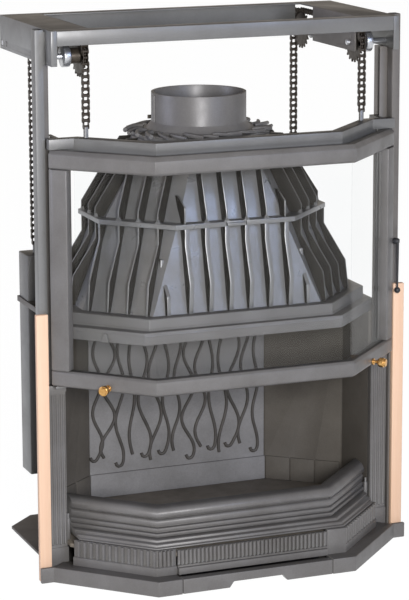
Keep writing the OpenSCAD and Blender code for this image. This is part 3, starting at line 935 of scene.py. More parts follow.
def lathe(name: str, profile: Outline, axis: Matrix, steps: int = 32) -> bpy.types.Object:
    """Turns a profile about an axis.

    Args:
        name: The new object's name.
        profile: Corners as (radius, along) in millimetres, the first and last on the axis or not.
        axis: Places the turned piece; its own axis is Z.
        steps: Faces round the axis.

    Returns:
        A closed solid.
    """
    points = [Vector((r * MM, 0, z * MM)) for r, z in profile]
    obj = draw_outline(name, points)
    with editing(obj):
        bpy.ops.mesh.delete(type="ONLY_FACE")
        bpy.ops.mesh.select_all(action="SELECT")
        bpy.ops.mesh.spin(
            steps=steps, angle=math.tau, center=(0, 0, 0), axis=(0, 0, 1), use_auto_merge=True
        )
        bpy.ops.mesh.select_all(action="SELECT")
        bpy.ops.mesh.remove_doubles(threshold=SAME_SEAM)
        bpy.ops.mesh.delete_loose()
        bpy.ops.mesh.select_all(action="SELECT")
        bpy.ops.mesh.normals_make_consistent(inside=False)
    obj.data.transform(axis)
    return obj


# The firebox


@dataclass
class FireFront:
    """The fluted band, the air flap and the log guard across the foot of the fire."""

    band_a: float = 211.0
    band_y: float = 180.0
    end: float = 345.0
    split: float = 166.0
    foot_z: float = 32.0
    rib_pitch: float = 14.3
    fine_pitch: float = 8.8
    flap_out: float = 8.0
    ribs_high: float = 84.8
    face_set_back: float = 5.4

    def rib(self, name: str, width: float, proud: float, z0: float, z1: float) -> bpy.types.Object:
        """One raised rib that stands on a plane facing the front, its root a little inside.

        Args:
            name: The new object's name.
            width: The rib's width at its root.
            proud: How far it stands out.
            z0: Height of its lower end.
            z1: Height of its upper end.

        Returns:
            The rib, its outer edge shorter than its root by a small slope at each end.
        """
        half = width / 2
        slopes = 1.6
        outline = [(-half, 1.0), (-half * 0.9, -proud * 0.75), (-half * 0.6, -proud)]
        outline += [(half * 0.6, -proud), (half * 0.9, -proud * 0.75), (half, 1.0)]
        points = [Vector((x * MM, y * MM, z0 * MM)) for x, y in outline]
        obj = prism(name, points, Vector((0, 0, (z1 - z0) * MM)))
        with editing(obj, "DESELECT") as mesh:
            for vertex in mesh.verts:
                vertex.select = vertex.co.y < -proud * 0.4 * MM
            bpy.ops.transform.resize(
                value=(1, 1, 1 - slopes / (z1 - z0)), center_override=(0, 0, (z0 + z1) / 2 * MM)
            )
        return obj

    def ribs_along(
        self, name: str, start: Vector, step: Vector, count: int, turn: float, rib: bpy.types.Object
    ) -> list[bpy.types.Object]:
        """Copies a rib along a line.

        Args:
            name: The start of each copy's name.
            start: Place of the first copy in metres.
            step: From one copy to the next in metres.
            count: How many copies.
            turn: How each one is turned about Z, in radians.
            rib: The rib to copy.

        Returns:
            The copies.
        """
        made = []
        for i in range(count):
            matrix = Matrix.Translation(start + step * i) @ Matrix.Rotation(turn, 4, "Z")
            made.append(copy_of(rib, f"{name}_{i}", matrix))
        return made

    def side_block(self, name: str) -> bpy.types.Object:
        """The right-hand band: a plain front block and a fluted 45 degree facet.

        Args:
            name: The new object's name.

        Returns:
            The band without the block's cover.
        """
        rib_foot, rib_head = 50.6, 85.2
        stations = bay_stations(self.band_a, self.band_y, self.end)[2:]
        inner_end = Station(self.split + 1, -self.band_y, (0.0, -1.0))
        face = -self.face_set_back
        section = [(-12, self.foot_z), (0, self.foot_z), (0, 49), (face, 51)]
        section += [(face, 84.6), (-2, 85), (-2, 86), (-12, 86)]
        body = bevel(sweep(name, section, [inner_end, *stations]), 0.7, 2)
        length = (self.end - self.band_a) / DIAGONAL
        rib = self.rib("rib", 6.4, 5.2, rib_foot, rib_head)
        count = int(length / self.rib_pitch)
        step = Vector((1, 1, 0)) * (self.rib_pitch * DIAGONAL * MM)
        inwards = Vector((-1, 1, 0)) * (self.face_set_back * DIAGONAL * MM)
        start = at(self.band_a, -self.band_y, 0) + step * 0.45 + inwards
        parts = self.ribs_along(name, start, step, count, math.radians(45), rib)
        bpy.data.objects.remove(rib)
        return joined(name, [body, *parts])

    def front_ribs(
        self, name: str, x0: float, x1: float, y: float, z0: float
    ) -> list[bpy.types.Object]:
        """Fine ribs on a front-facing plane.

        Args:
            name: The start of each rib's name.
            x0: Where the row starts.
            x1: Where it ends.
            y: The plane that the ribs stand on.
            z0: Height of their lower ends.

        Returns:
            The ribs, centred in the row.
        """
        pitch = self.fine_pitch
        rib = self.rib("rib", pitch * 0.6, self.face_set_back, z0, self.ribs_high)
        count = int((x1 - x0) / pitch)
        start = at(x0 + (x1 - x0 - (count - 1) * pitch) / 2, y, 0)
        parts = self.ribs_along(name, start, Vector((pitch * MM, 0, 0)), count, 0.0, rib)
        bpy.data.objects.remove(rib)
        return parts

    def air_flap(self) -> bpy.types.Object:
        """The hinged centre piece: a fine fluted strip above a deep groove and a plain strip.

        Returns:
            The flap with the hinge ears of the CAD part behind it.
        """
        y = self.band_y + self.flap_out
        section = [(-8, 33), (0, 33.5), (0, 46), (-1.2, 47.3), (-6, 47.6), (-6, 51.2)]
        section += [(-0.6, 51.8), (-0.6, 53), (-6, 53.6), (-6, 84.2), (-1.6, 84.6), (-1.6, 85), (-8, 85)]
        ends = [Station(-self.split + 0.5, -y, (0.0, -1.0)), Station(self.split - 0.5, -y, (0.0, -1.0))]
        body = bevel(sweep("air_flap_piece", section, ends), 0.5, 2)
        ribs = self.front_ribs("flap_rib", -self.split + 3, self.split - 3, -y + 6, 53)
        ears = copy_of(frame["nodes"]["air_flap"], "air_flap_ears")
        ears.data.materials.clear()
        with editing(ears):
            bpy.ops.mesh.remove_doubles(threshold=SAME_CORNER)
            bpy.ops.mesh.bisect(
                plane_co=at(0, -y + 7.5, 0), plane_no=(0, 1, 0), clear_inner=True, use_fill=True
            )
        return joined("air_flap_piece", [body, *ribs, ears])

    def log_guard(self) -> bpy.types.Object:
        """The moulded log guard: stepped bands set back on a flat foot, below a soft bull nose.

        Returns:
            The guard, its ends cut in upright planes.
        """
        section = [
            (-70, 86.3), (-6, 86.3), (-6, 88.6), (-7, 89.6), (-11, 89.8), (-12, 90.6), (-12, 94.2),
            (-13.4, 95.4), (-23, 95.6), (-24, 96.4), (-24, 99.8), (-25.4, 101), (-36, 101.2),
            (-40, 101.6), (-40, 102.8), (-37.5, 103.6), (-37.5, 108.8), (-40, 109.8), (-44.5, 110.2),
            (-44.5, 112), (-40.3, 113), (-40.3, 119), (-42, 120.2), (-47, 121), (-47, 123.2),
            (-41, 124.4), (-40.2, 134), (-42.2, 136.4), (-47.5, 137.6), (-47.5, 139.2), (-41.5, 140.4),
            (-38, 143.6), (-36.6, 148), (-37, 153), (-39.6, 157.4), (-44.4, 160.8), (-51.6, 162.8),
            (-61, 163.4), (-70, 162.6),
        ]
        stations = bay_stations(self.band_a, self.band_y, self.end - 12)
        for i in (0, 3):
            stations[i] = Station(stations[i].x, stations[i].y, (0.0, -2 * DIAGONAL))
        return smooth(bevel(sweep("log_guard_piece", section, stations), 0.6, 2, 50), 50)

    def build(self) -> None:
        """Builds the front's pieces."""
        right = self.side_block("fluted_band_right_piece")
        left = mirrored(right, "fluted_band_left_piece")
        extra = self.front_ribs("left_rib", -self.band_a, -self.split - 4, -self.band_y + 5.2, 50.6)
        low = at(self.split + 1.5, -self.band_y - 0.3, 34)
        high = at(self.band_a - 0.5, -self.band_y + 6, 85.6)
        block = slab("block", low, high)
        right = joined("fluted_band_right_piece", [right, bevel(block, 0.8, 2)])
        fit(smooth(joined("fluted_band_left_piece", [left, *extra])), Look.CAST_GREY, "fluted_band_left")
        fit(smooth(right), Look.CAST_GREY, "fluted_band_right")
        fit(smooth(self.air_flap()), Look.CAST_GREY, "air_flap")
        fit(self.log_guard(), Look.CAST_GREY, "log_guard")


@dataclass
class Firebox:
    """The fireback with its relief, the side walls, the hearth and the columns."""

    back_a: float = 206.0
    back_y: float = 250.0
    line_width: float = 7.2
    lines: int = 15
    line_steps: int = 48

    def relief(self) -> list[bpy.types.Object]:
        """Raised wavy lines on the fireback, each with its own sway, every other with a curled foot.

        Returns:
            The lines, sunk a little into the fireback.
        """
        made = []
        for i in range(self.lines):
            x0 = -self.back_a + 18 + i * (2 * self.back_a - 40) / (self.lines - 1)
            foot = 158 + 11 * math.sin(2.1 * i + 0.6)
            head = 478 - 10 * math.cos(1.3 * i)
            sway = (12 + 5 * math.sin(1.7 * i)) * (-1) ** i
            waves = 2.0 + 0.3 * math.sin(0.9 * i + 1.0)
            points = []
            for k in range(self.line_steps + 1):
                t = k / self.line_steps
                lean = 10 * math.sin(1.1 * i) * (t - 0.5)
                x = x0 + lean + sway * (1 - 0.3 * t) * math.sin(waves * math.tau * t + 0.5 * (i % 3))
                points.append((x, foot + (head - foot) * t))
            x, z = points[0]
            side = -1 if sway > 0 else 1
            curl = [(x + side * 17, z + 2), (x + side * 15, z - 7), (x + side * 5, z - 8)]
            if i % 2 == 0:
                points = curl + points
            course = [at(x, self.back_y - 2.0, z) for x, z in points]
            made.append(bead(f"relief_{i}", course, self.line_width / 2))
        return made

    def build(self) -> None:
        """Builds the firebox's pieces."""
        fit(soften("fireback", 1.5), Look.CAST_FIRE, "fireback")
        lines = smooth(joined("fireback_relief", self.relief()), 60)
        fit(lines, Look.CAST_RELIEF, body="frame")
        # The side walls take the darker iron, painted shade inside the firebox.
        for side in ("left", "right"):
            fit(soften(f"wall_{side}", 1.2), Look.CAST_WALL, f"wall_{side}")
            fit(soften(f"column_{side}", 0.8, 2), Look.CAST_GREY, f"column_{side}")
        fit(soften("hearth_plate", 1.0), Look.CAST_SOOT, "hearth_plate")
        fit(soften("grate", 1.5), Look.CAST_SOOT, "grate")
        fit(soften("smoke_baffle", 1.0), Look.CAST_SOOT, "smoke_baffle")
        fit(soften("guard_pins", 0.8), Look.CAST_GREY, "guard_pins")


@dataclass
class Plinth:
    """The plinth with its loose centre piece and the base plate."""

    cast_edge: float = 1.6
    plate_edge: float = 1.0

    def build(self) -> None:
        """Builds the plinth's pieces."""
        for node in ("plinth_left", "plinth_right", "ash_drawer_front"):
            fit(soften(node, self.cast_edge, 3), Look.CAST_GREY, node)
        # The base plate takes the darker primer: painted shade low in the frame.
        fit(soften("base_plate", self.plate_edge), Look.PRIMED_DULL_SHADED, "base_plate")
        dress("ash_pan", Look.BLACK)


@dataclass(frozen=True)
class Plan:
    """The hood's plan at one height: eight corners, the same on both sides."""

    front_a: float
    front_y: float
    side_x: float
    side_y: float
    rear_a: float
    rear_y: float

    def ring(self, z: float) -> list[Vector]:
        """The corners at a height, in order.

        Args:
            z: The height in millimetres.

        Returns:
            Eight corners in metres.
        """
        knee = self.side_x - self.front_a - self.front_y
        half = [(self.front_a, -self.front_y), (self.side_x, knee), (self.side_x, self.side_y)]
        half.append((self.rear_a, self.rear_y))
        return [at(x, y, z) for x, y in half] + [at(-x, y, z) for x, y in reversed(half)]

    def reach(self) -> tuple[float, float, float]:
        """How far out the front, the 45 degree facet and the side lie."""
        return (self.front_y, (self.front_a + self.front_y) * DIAGONAL, self.side_x)


@dataclass
class Hood:
    """The ribbed two-tier hood, its base ring, flange, cap and flue collar."""

    low_foot: Plan = Plan(185, 100, 298, 172, 195, 252)
    low_head: Plan = Plan(119, 63, 228, 160, 145, 234)
    rim: Plan = Plan(131, 91, 254, 164, 150, 242)
    high_foot: Plan = Plan(116, 66, 232, 158, 140, 232)
    high_head: Plan = Plan(60, 14, 140, 168, 70, 224)
    low_z: float = 555.0
    mid_z: float = 727.0
    mid_top: float = 737.0
    cap_z: float = 888.0
    cap_top: float = 898.0
    flue_y: float = 117.0
    flue_r: float = 100.0
    pitch: float = 44.0
    front_shift: float = 4.0
    facet_start: float = 71.0
    side_start: float = 64.0
    fin_out: float = 28.0
    fin_root: float = 7.5
    fin_edge: float = 4.6
    blade_root: float = 6.0
    blade_edge: float = 3.8
    rim_inset: float = 3.0
    wall: float = 8.0
    ridges: int = 26

    def fin(self, name: str, outline: Outline, root: float, edge: float) -> bpy.types.Object:
        """A fin on the front panel, drafted so that its edge is thinner than its root.

        Args:
            name: The new object's name.
            outline: Corners as (out, up), the first and the last one at the root.
            root: Thickness at the panel.
            edge: Thickness at the free edge.

        Returns:
            The fin, its edges rounded, its sideways faces in a dark finish that paints the shade between
            fins.
        """
        points = [Vector((-root / 2 * MM, -n * MM, z * MM)) for n, z in outline]
        obj = prism(name, points, Vector((root * MM, 0, 0)))
        roots = [points[0].yz, points[-1].yz]
        with editing(obj) as mesh:
            for vertex in mesh.verts:
                if min((vertex.co.yz - place).length for place in roots) > 0.01 * MM:
                    vertex.co.x *= edge / root
            bmesh.update_edit_mesh(obj.data)
        bevel(obj, min(1.4, edge * 0.28), 2, 30)
        # The faces that look sideways, the fins' flanks, get the dark finish: painted shade between the
        # fins.
        for look in (Look.CAST_HOOD, Look.FLANK_PAINTED_SHADE):
            obj.data.materials.append(look.value.material())
        for face in obj.data.polygons:
            face.material_index = 1 if abs(face.normal.x) > 0.8 else 0
        return obj

    def foot_web(self, n: float, z: float, edge: float) -> bpy.types.Object:
        """The fillets that run from a fin's edge into the rim of the flange.

        Args:
            n: How far out the fin's edge lies.
            z: Height of the flange's top.
            edge: Thickness of the fin at its edge.

        Returns:
            A closed solid.
        """
        half = edge / 2
        side = [(half + 8, z - 0.5), (half + 4, z + 1.0), (half + 1.4, z + 3.6), (half - 0.4, z + 8)]
        outline = side + [(-x, up) for x, up in reversed(side)]
        points = [Vector((x * MM, -n * MM, up * MM)) for x, up in outline]
        web = prism("foot_web", points, Vector((0, 5 * MM, 0)))
        web.data.materials.append(Look.CAST_HOOD.value.material())
        return web

    def low_outline(self, foot: float, head: float, rim: float, top: float) -> Outline:
        """A lower fin: it swells to a knee and then runs up to the rim.

        Args:
            foot: How far out the panel's foot lies.
            head: How far out its head lies.
            rim: How far out the flange's rim lies.
            top: Height of the fin's top.

        Returns:
            Corners as (out, up), the first and the last one at the root.
        """
        rise = top - self.low_z
        knee = foot + (head - foot) * 0.36 + self.fin_out
        return [
            (foot - 4, self.low_z + 0.3),
            (foot + 9, self.low_z + 0.3),
            (knee, self.low_z + rise * 0.36),
            (rim - self.rim_inset, top - 34),
            (rim - self.rim_inset, top),
            (head - 4, top),
        ]

    def high_outline(self, foot: float, head: float, rim: float, top: float, crest: float) -> Outline:
        """An upper fin: it stands on the flange and leans back with its panel.

        Args:
            foot: How far out the panel's foot lies.
            head: How far out its head lies.
            rim: How far out the flange's rim lies.
            top: Height of the fin's top.
            crest: How far the fin's top stands out of the panel.

        Returns:
            Corners as (out, up), the first and the last one at the root.
        """
        low = self.mid_top
        edge = rim - self.rim_inset
        return [(foot - 4, low), (edge, low), (edge, low + 20), (head + crest, top), (head - 4, top)]

    def around(
        self, fin: bpy.types.Object, turn: float, along: list[float], both: bool
    ) -> list[bpy.types.Object]:
        """Copies a fin to places along a facet and removes the first one.

        Args:
            fin: A fin on the front panel.
            turn: The facet's turn about Z in degrees.
            along: Where the fins stand along it.
            both: Whether the facet across gets them too.

        Returns:
            The copies.
        """
        made = []
        for s in along:
            place = Matrix.Translation((0, POST_LINE_Y * MM, 0))
            place = place @ Matrix.Rotation(math.radians(turn), 4, "Z")
            place = place @ Matrix.Translation((s * MM, 0, 0))
            copy = copy_of(fin, f"{fin.name}_{len(made)}", place)
            made.append(copy)
            if both:
                made.append(mirrored(copy, copy.name + "_across"))
        bpy.data.objects.remove(fin)
        return made

    def lower_tier(self) -> bpy.types.Object:
        """The lower panels with their fins.

        Returns:
            One piece in the hood's finish, the fins' flanks painted dark as shade.
        """
        shell = loft("hood_lower_shell", self.low_foot.ring(self.low_z), self.low_head.ring(self.mid_z))
        shell.data.materials.append(Look.CAST_HOOD.value.material())
        parts = [hollow(shell, 8, self.wall)]
        foot, head, rim = self.low_foot.reach(), self.low_head.reach(), self.rim.reach()
        steps = [-2.5, -1.5, -0.5, 0.5, 1.5, 2.5]
        outline = self.low_outline(foot[0], head[0], rim[0], self.mid_z)
        front = self.fin("front_fin", outline, 11.5, 10.0)
        parts += self.around(front, 0, [k * self.pitch + self.front_shift for k in steps], False)
        outline = self.low_outline(foot[0], head[0] - 20, rim[0] - 16, self.mid_z - 62)
        short = self.fin("front_short", outline, 9.5, 8.0)
        parts += self.around(short, 0, [3.5 * self.pitch], True)
        kinds = [(1, "facet_fin", 45, self.facet_start, 4), (2, "side_fin", 90, self.side_start, 3)]
        for i, name, turn, start, count in kinds:
            outline = self.low_outline(foot[i], head[i], rim[i], self.mid_z)
            fin = self.fin(name, outline, self.fin_root, self.fin_edge)
            parts += self.around(fin, turn, [start + k * self.pitch for k in range(count)], True)
        return joined("hood_lower_piece", parts)

    def upper_tier(self) -> bpy.types.Object:
        """The upper panels with their fins.

        Returns:
            One piece in the hood's finish, the fins' flanks painted dark as shade.
        """
        low, high = self.high_foot.ring(self.mid_top), self.high_head.ring(self.cap_z)
        shell = loft("hood_upper_shell", low, high)
        shell.data.materials.append(Look.CAST_HOOD.value.material())
        parts = [hollow(shell, 8, self.wall)]
        foot, head, rim = self.high_foot.reach(), self.high_head.reach(), self.rim.reach()
        crest = self.fin_out * 0.9
        shift = self.front_shift - 1
        kinds = [(0, 0, [k * self.pitch + shift for k in (-1.5, -0.5, 0.5, 1.5)], False)]
        kinds += [(1, 45, [self.facet_start + k * self.pitch for k in range(3)], True)]
        kinds += [(2, 90, [self.side_start + k * self.pitch for k in range(3)], True)]
        for i, turn, along, both in kinds:
            outline = self.high_outline(foot[i], head[i], rim[i], self.cap_z, crest)
            blade = self.fin(f"high_fin_{i}", outline, self.blade_root, self.blade_edge)
            web = self.foot_web(rim[i] - self.rim_inset, self.mid_top, self.blade_edge)
            parts += self.around(joined(f"high_fin_{i}", [blade, web]), turn, along, both)
        outline = self.high_outline(foot[0], foot[0] - 26, rim[0], self.mid_top + 52, 10.0)
        outline[2] = (rim[0] - self.rim_inset, self.mid_top + 34)
        short = self.fin("high_short", outline, self.blade_edge + 1.5, self.blade_edge)
        parts += self.around(short, 0, [2.5 * self.pitch], True)
        return joined("hood_upper_piece", parts)

    def flange(self) -> bpy.types.Object:
        """The flange between the tiers, with the loose tab that bridges its front slot.

        Returns:
            The flange, its edges rounded.
        """
        solid = loft("hood_flange_piece", self.rim.ring(self.mid_z), self.rim.ring(self.mid_top))
        ring = hollow(solid, 8, 34)
        y = -self.rim.front_y
        cutters = [
            slab("slot", at(-21.5, y - 5, self.mid_z - 5), at(-18, y + 9, self.mid_top + 5)),
            slab("slot", at(-18.1, y - 5, self.mid_top - 3.6), at(23.5, y + 5, self.mid_top + 5)),
            slab("slot", at(22, y - 5, self.mid_z - 5), at(23.5, y + 5, self.mid_top + 5)),
        ]
        return bevel(carve(ring, *cutters), 1.0, 2, 30)

    def cap(self) -> bpy.types.Object:
        """The cap: a plate round the flue's foot under a whirl of cast ridges.

        Returns:
            The cap.
        """
        rings = [self.high_head.ring(z) for z in (self.cap_z, self.cap_top)]
        plate = loft("hood_cap_piece", *rings)
        low, high, bore_r = self.cap_z - 9, self.cap_top + 9, 92.0
        bore = [(0.0, low), (bore_r, low), (bore_r, high), (0.0, high)]
        centre = at(0, self.flue_y, 0)
        parts = [bevel(carve(plate, lathe("bore", bore, Matrix.Translation(centre), 64)), 1.0, 2, 30)]
        for i in range(self.ridges):
            angle = math.tau * i / self.ridges
            reach = 116 + 46 * abs(math.cos(angle))
            course = []
            for k in range(5):
                t = k / 4
                r = (119 + (reach - 119) * t) * MM
                a = angle + 0.3 * t * t
                lift = self.cap_top + 1.5 + (2.5 + 2 * (i % 2)) * math.sin(math.pi * (0.2 + 0.75 * t))
                course.append(centre + Vector((r * math.cos(a), r * math.sin(a), lift * MM)))
            parts.append(bead(f"ridge_{i}", course, 3.4 + 0.9 * (i % 3)))
        return joined("hood_cap_piece", parts)

    def base(self) -> bpy.types.Object:
        """The base ring with a quirk below its upper step and a lug in front.

        Returns:
            The base ring.
        """
        ring = soften("hood_base", 1.8, 3)
        trim = [(-3, 521.5), (0.6, 521.9), (0.9, 524), (-1.2, 529.6), (-3, 530.6)]
        face = sweep("base_trim", trim, bay_stations(218, 138, 346))
        cove = [(-2, 532.4), (0.7, 533.2), (0.7, 535.2), (-2, 536)]
        rule = sweep("base_rule", cove, bay_stations(202, 124, 332))
        lug = prism(
            "base_lug",
            [at(x, y, 505.5) for x, y in ((-9, -3), (9, -3), (6, 5), (-6, 5))],
            Vector((0, 0, 19 * MM)),
        )
        with editing(lug, "DESELECT") as mesh:
            for vertex in mesh.verts:
                vertex.select = vertex.co.z > 0.51
            bpy.ops.transform.resize(value=(0.45, 0.8, 1), center_override=at(0, 2, 520))
        lug = bevel(lug, 1.2, 2)
        lug.data.transform(Matrix.Translation((0, -POST_LINE_Y * MM, 0)))
        place = Matrix.Translation(at(-281, -78, 0)) @ Matrix.Rotation(math.radians(-45), 4, "Z")
        lug.data.transform(place)
        return joined("hood_base_piece", [ring, face, rule, lug])

    def collar(self) -> bpy.types.Object:
        """The flue collar with a rolled rim and one upright bead.

        Returns:
            The collar.
        """
        ring = soften("flue_collar", 1.0, 2)
        x = -self.flue_r - 0.2
        course = [at(x, self.flue_y - 2, z) for z in (918, 930, 950, 964, 974)]
        return joined("flue_collar_piece", [ring, bead("collar_bead", course, 3.0)])

    def build(self) -> None:
        """Builds the hood's pieces."""
        fit(smooth(self.base(), 30), Look.CAST_GREY, "hood_base")
        fit(smooth(self.lower_tier(), 30), Look.CAST_HOOD, "hood_lower")
        fit(smooth(self.flange(), 30), Look.CAST_HOOD, "hood_flange")
        fit(smooth(self.upper_tier(), 30), Look.CAST_HOOD, "hood_upper")
        fit(smooth(self.cap(), 40), Look.CAST_GREY, "hood_cap")
        fit(smooth(self.collar(), 30), Look.CAST_GREY, "flue_collar")
        fit(soften("damper_plate", 0.6), Look.CAST_SOOT, "damper_plate")


# The frame and the lifting gear


@dataclass
class SteelFrame:
    """The rolled steel frame: posts, guides, channels, rails, straps and wooden battens."""

    sheet_edge: float = 0.8
    rail_edge: float = 1.0
    post_edge: float = 1.6
    batten_edge: float = 1.2
    weight_edge: float = 2.0

    def build(self) -> None:
        """Builds the frame's pieces."""
        # The right post, the inner webs, the guides and the straps take the darker primer: painted
        # shade.
        posts = {"left": Look.PRIMED, "right": Look.PRIMED_DULL_SHADED}
        for side in ("left", "right"):
            kinds = [
                ("side_channel", self.sheet_edge, 2, Look.PRIMED),
                ("inner_web", self.sheet_edge, 2, Look.PRIMED_DULL_SHADED),
                ("post", self.post_edge, 3, posts[side]),
                ("guide", self.rail_edge, 2, Look.PRIMED_DULL_SHADED),
                ("strap", self.sheet_edge, 2, Look.PRIMED_DULL_SHADED),
                ("batten", self.batten_edge, 2, Look.PINE),
                ("weight", self.weight_edge, 2, Look.PRIMED),
            ]
            for kind, edge, segments, look in kinds:
                fit(soften(f"{kind}_{side}", edge, segments), look, f"{kind}_{side}")
        for rail in ("front_rail", "rear_rail"):
            fit(soften(rail, self.rail_edge), Look.PRIMED, rail)
        fit(soften("axles", self.sheet_edge), Look.BRIGHT, "axles")


@dataclass
class LiftingGear:
    """The roller chains, modelled link by link, and their sprockets."""

    chain_x: float = 303.0
    axle_y: float = 1.0
    gap: float = 273.0
    axle_z: float = 1080.0
    radius: float = 40.6
    pitch: float = 12.7
    plate_height: float = 10.5
    inner_gap: float = 8.6
    plate_t: float = 1.5

    def plate(self, name: str, x: float) -> bpy.types.Object:
        """One waisted side plate, upright, its lower pin at the origin.

        Args:
            name: The new object's name.
            x: Where its near face lies, in millimetres.

        Returns:
            The plate.
        """
        half = self.plate_height / 2
        points = []
        for k in range(7):
            angle = math.pi + math.pi * k / 6
            points.append((half * math.cos(angle), half * math.sin(angle)))
        points.append((half * 0.68, self.pitch / 2))
        for k in range(7):
            angle = math.pi * k / 6
            points.append((half * math.cos(angle), self.pitch + half * math.sin(angle)))
        points.append((-half * 0.68, self.pitch / 2))
        corners = [Vector((x * MM, y * MM, z * MM)) for y, z in points]
        return prism(name, corners, Vector((self.plate_t * MM, 0, 0)))

    def link(self, name: str, outer: bool) -> bpy.types.Object:
        """A link of two side plates with its pins or rollers.

        Args:
            name: The new object's name.
            outer: Whether it is an outer link, with pins, or an inner one, with rollers.

        Returns:
            The link, upright, its lower pin at the origin.
        """
        inside = self.inner_gap / 2 + (self.plate_t + 0.2 if outer else 0.0)
        parts = [self.plate(f"{name}_a", inside), self.plate(f"{name}_b", -inside - self.plate_t)]
        across = Matrix.Rotation(math.radians(90), 4, "Y")
        if outer:
            reach = inside + self.plate_t + 0.9
            turned = [(0.0, -reach), (1.7, -reach), (2.0, -reach + 0.5)]
            turned += [(2.0, reach - 0.5), (1.7, reach), (0.0, reach)]
            steps = 10
        else:
            half = self.inner_gap / 2 - 0.2
            turned = [(0.0, -half), (3.3, -half), (3.3, half), (0.0, half)]
            steps = 12
        for up in (0, self.pitch * MM):
            place = Matrix.Translation((0, 0, up)) @ across
            parts.append(lathe(f"{name}_turned", turned, place, steps))
        return joined(name, parts)

    def run(self, name: str, places: list[Matrix]) -> bpy.types.Object:
        """Copies the two kinds of link along places, in turn.

        Args:
            name: The run's name.
            places: One matrix for each link.

        Returns:
            The run as one piece.
        """
        kinds = [self.link("link_inner", False), self.link("link_outer", True)]
        parts = [copy_of(kinds[i % 2], f"{name}_{i}", place) for i, place in enumerate(places)]
        for kind in kinds:
            bpy.data.objects.remove(kind)
        return joined(name, parts)

    def straight(self, y: float, top: float, low: float) -> list[Matrix]:
        """Places of links on an upright run, from the top down to low.

        Args:
            y: Where the run hangs.
            top: Height of its upper end.
            low: Height of its lower end.

        Returns:
            One matrix for each link, drawn out or in a little to fill the run.
        """
        count = max(1, round((top - low) / self.pitch))
        step = (top - low) / count
        squeeze = Matrix.Scale(step / self.pitch, 4, (0, 0, 1))
        return [
            Matrix.Translation(at(self.chain_x, y, top - (i + 1) * step)) @ squeeze for i in range(count)
        ]

    def over(self) -> list[Matrix]:
        """Places of links over the two sprockets, from the front tangent to the rear one.

        Returns:
            One matrix for each link.
        """
        quarter = math.pi * self.radius / 2
        length = 2 * quarter + self.gap
        count = round(length / self.pitch)
        places = []
        for i in range(count):
            s = length * i / count
            if s < quarter:
                angle = s / self.radius
                y = self.axle_y - self.radius * math.cos(angle)
                z = self.axle_z + self.radius * math.sin(angle)
                lean = angle
            elif s < quarter + self.gap:
                y = self.axle_y + s - quarter
                z = self.axle_z + self.radius
                lean = math.pi / 2
            else:
                angle = (s - quarter - self.gap) / self.radius
                y = self.axle_y + self.gap + self.radius * math.sin(angle)
                z = self.axle_z + self.radius * math.cos(angle)
                lean = math.pi / 2 + angle
            places.append(Matrix.Translation(at(self.chain_x, y, z)) @ Matrix.Rotation(-lean, 4, "X"))
        return places

    def build(self) -> None:
        """Builds the chains and sprockets."""
        front_y = self.axle_y - self.radius
        rear_y = self.axle_y + self.gap + self.radius
        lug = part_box("chain_front_right")[0].z / MM
        weight_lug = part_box("chain_rear_right")[0].z / MM
        top = self.run("chain_top_right_piece", self.over())
        front = self.run("chain_front_right_piece", self.straight(front_y, self.axle_z, lug))
        rear = self.run("chain_rear_right_piece", self.straight(rear_y, self.axle_z, weight_lug))
        for side in ("right", "left"):
            pieces = [top, front, rear]
            if side == "left":
                pieces = [mirrored(p, p.name.replace("right", "left")) for p in pieces]
            fit(smooth(pieces[0]), Look.CHAIN, f"chain_top_{side}")
            self.stretch(smooth(pieces[1]), f"chain_front_{side}", "carriage", front_y, lug)
            self.stretch(smooth(pieces[2]), f"chain_rear_{side}", f"weight_{side}", rear_y, weight_lug)
            for end in ("front", "rear"):
                fit(soften(f"sprocket_{end}_{side}", 0.4, 1), Look.CHAIN, f"sprocket_{end}_{side}")

    def stretch(self, piece: bpy.types.Object, node: str, body: str, y: float, low: float) -> None:
        """Dresses a run of links, bakes its place into its mesh and hides the CAD part that it stands
        for.

        Args:
            piece: The run of links.
            node: The CAD part that it stands for.
            body: The body at its lower end; not used.
            y: Where the run hangs; not used.
            low: Height of its lower end; not used.
        """
        piece.data.materials.clear()
        piece.data.materials.append(Look.CHAIN.value.material())
        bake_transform(piece)
        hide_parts(node)
        LOG.info("%s: %d faces, chain", piece.name, len(piece.data.polygons))


# The door


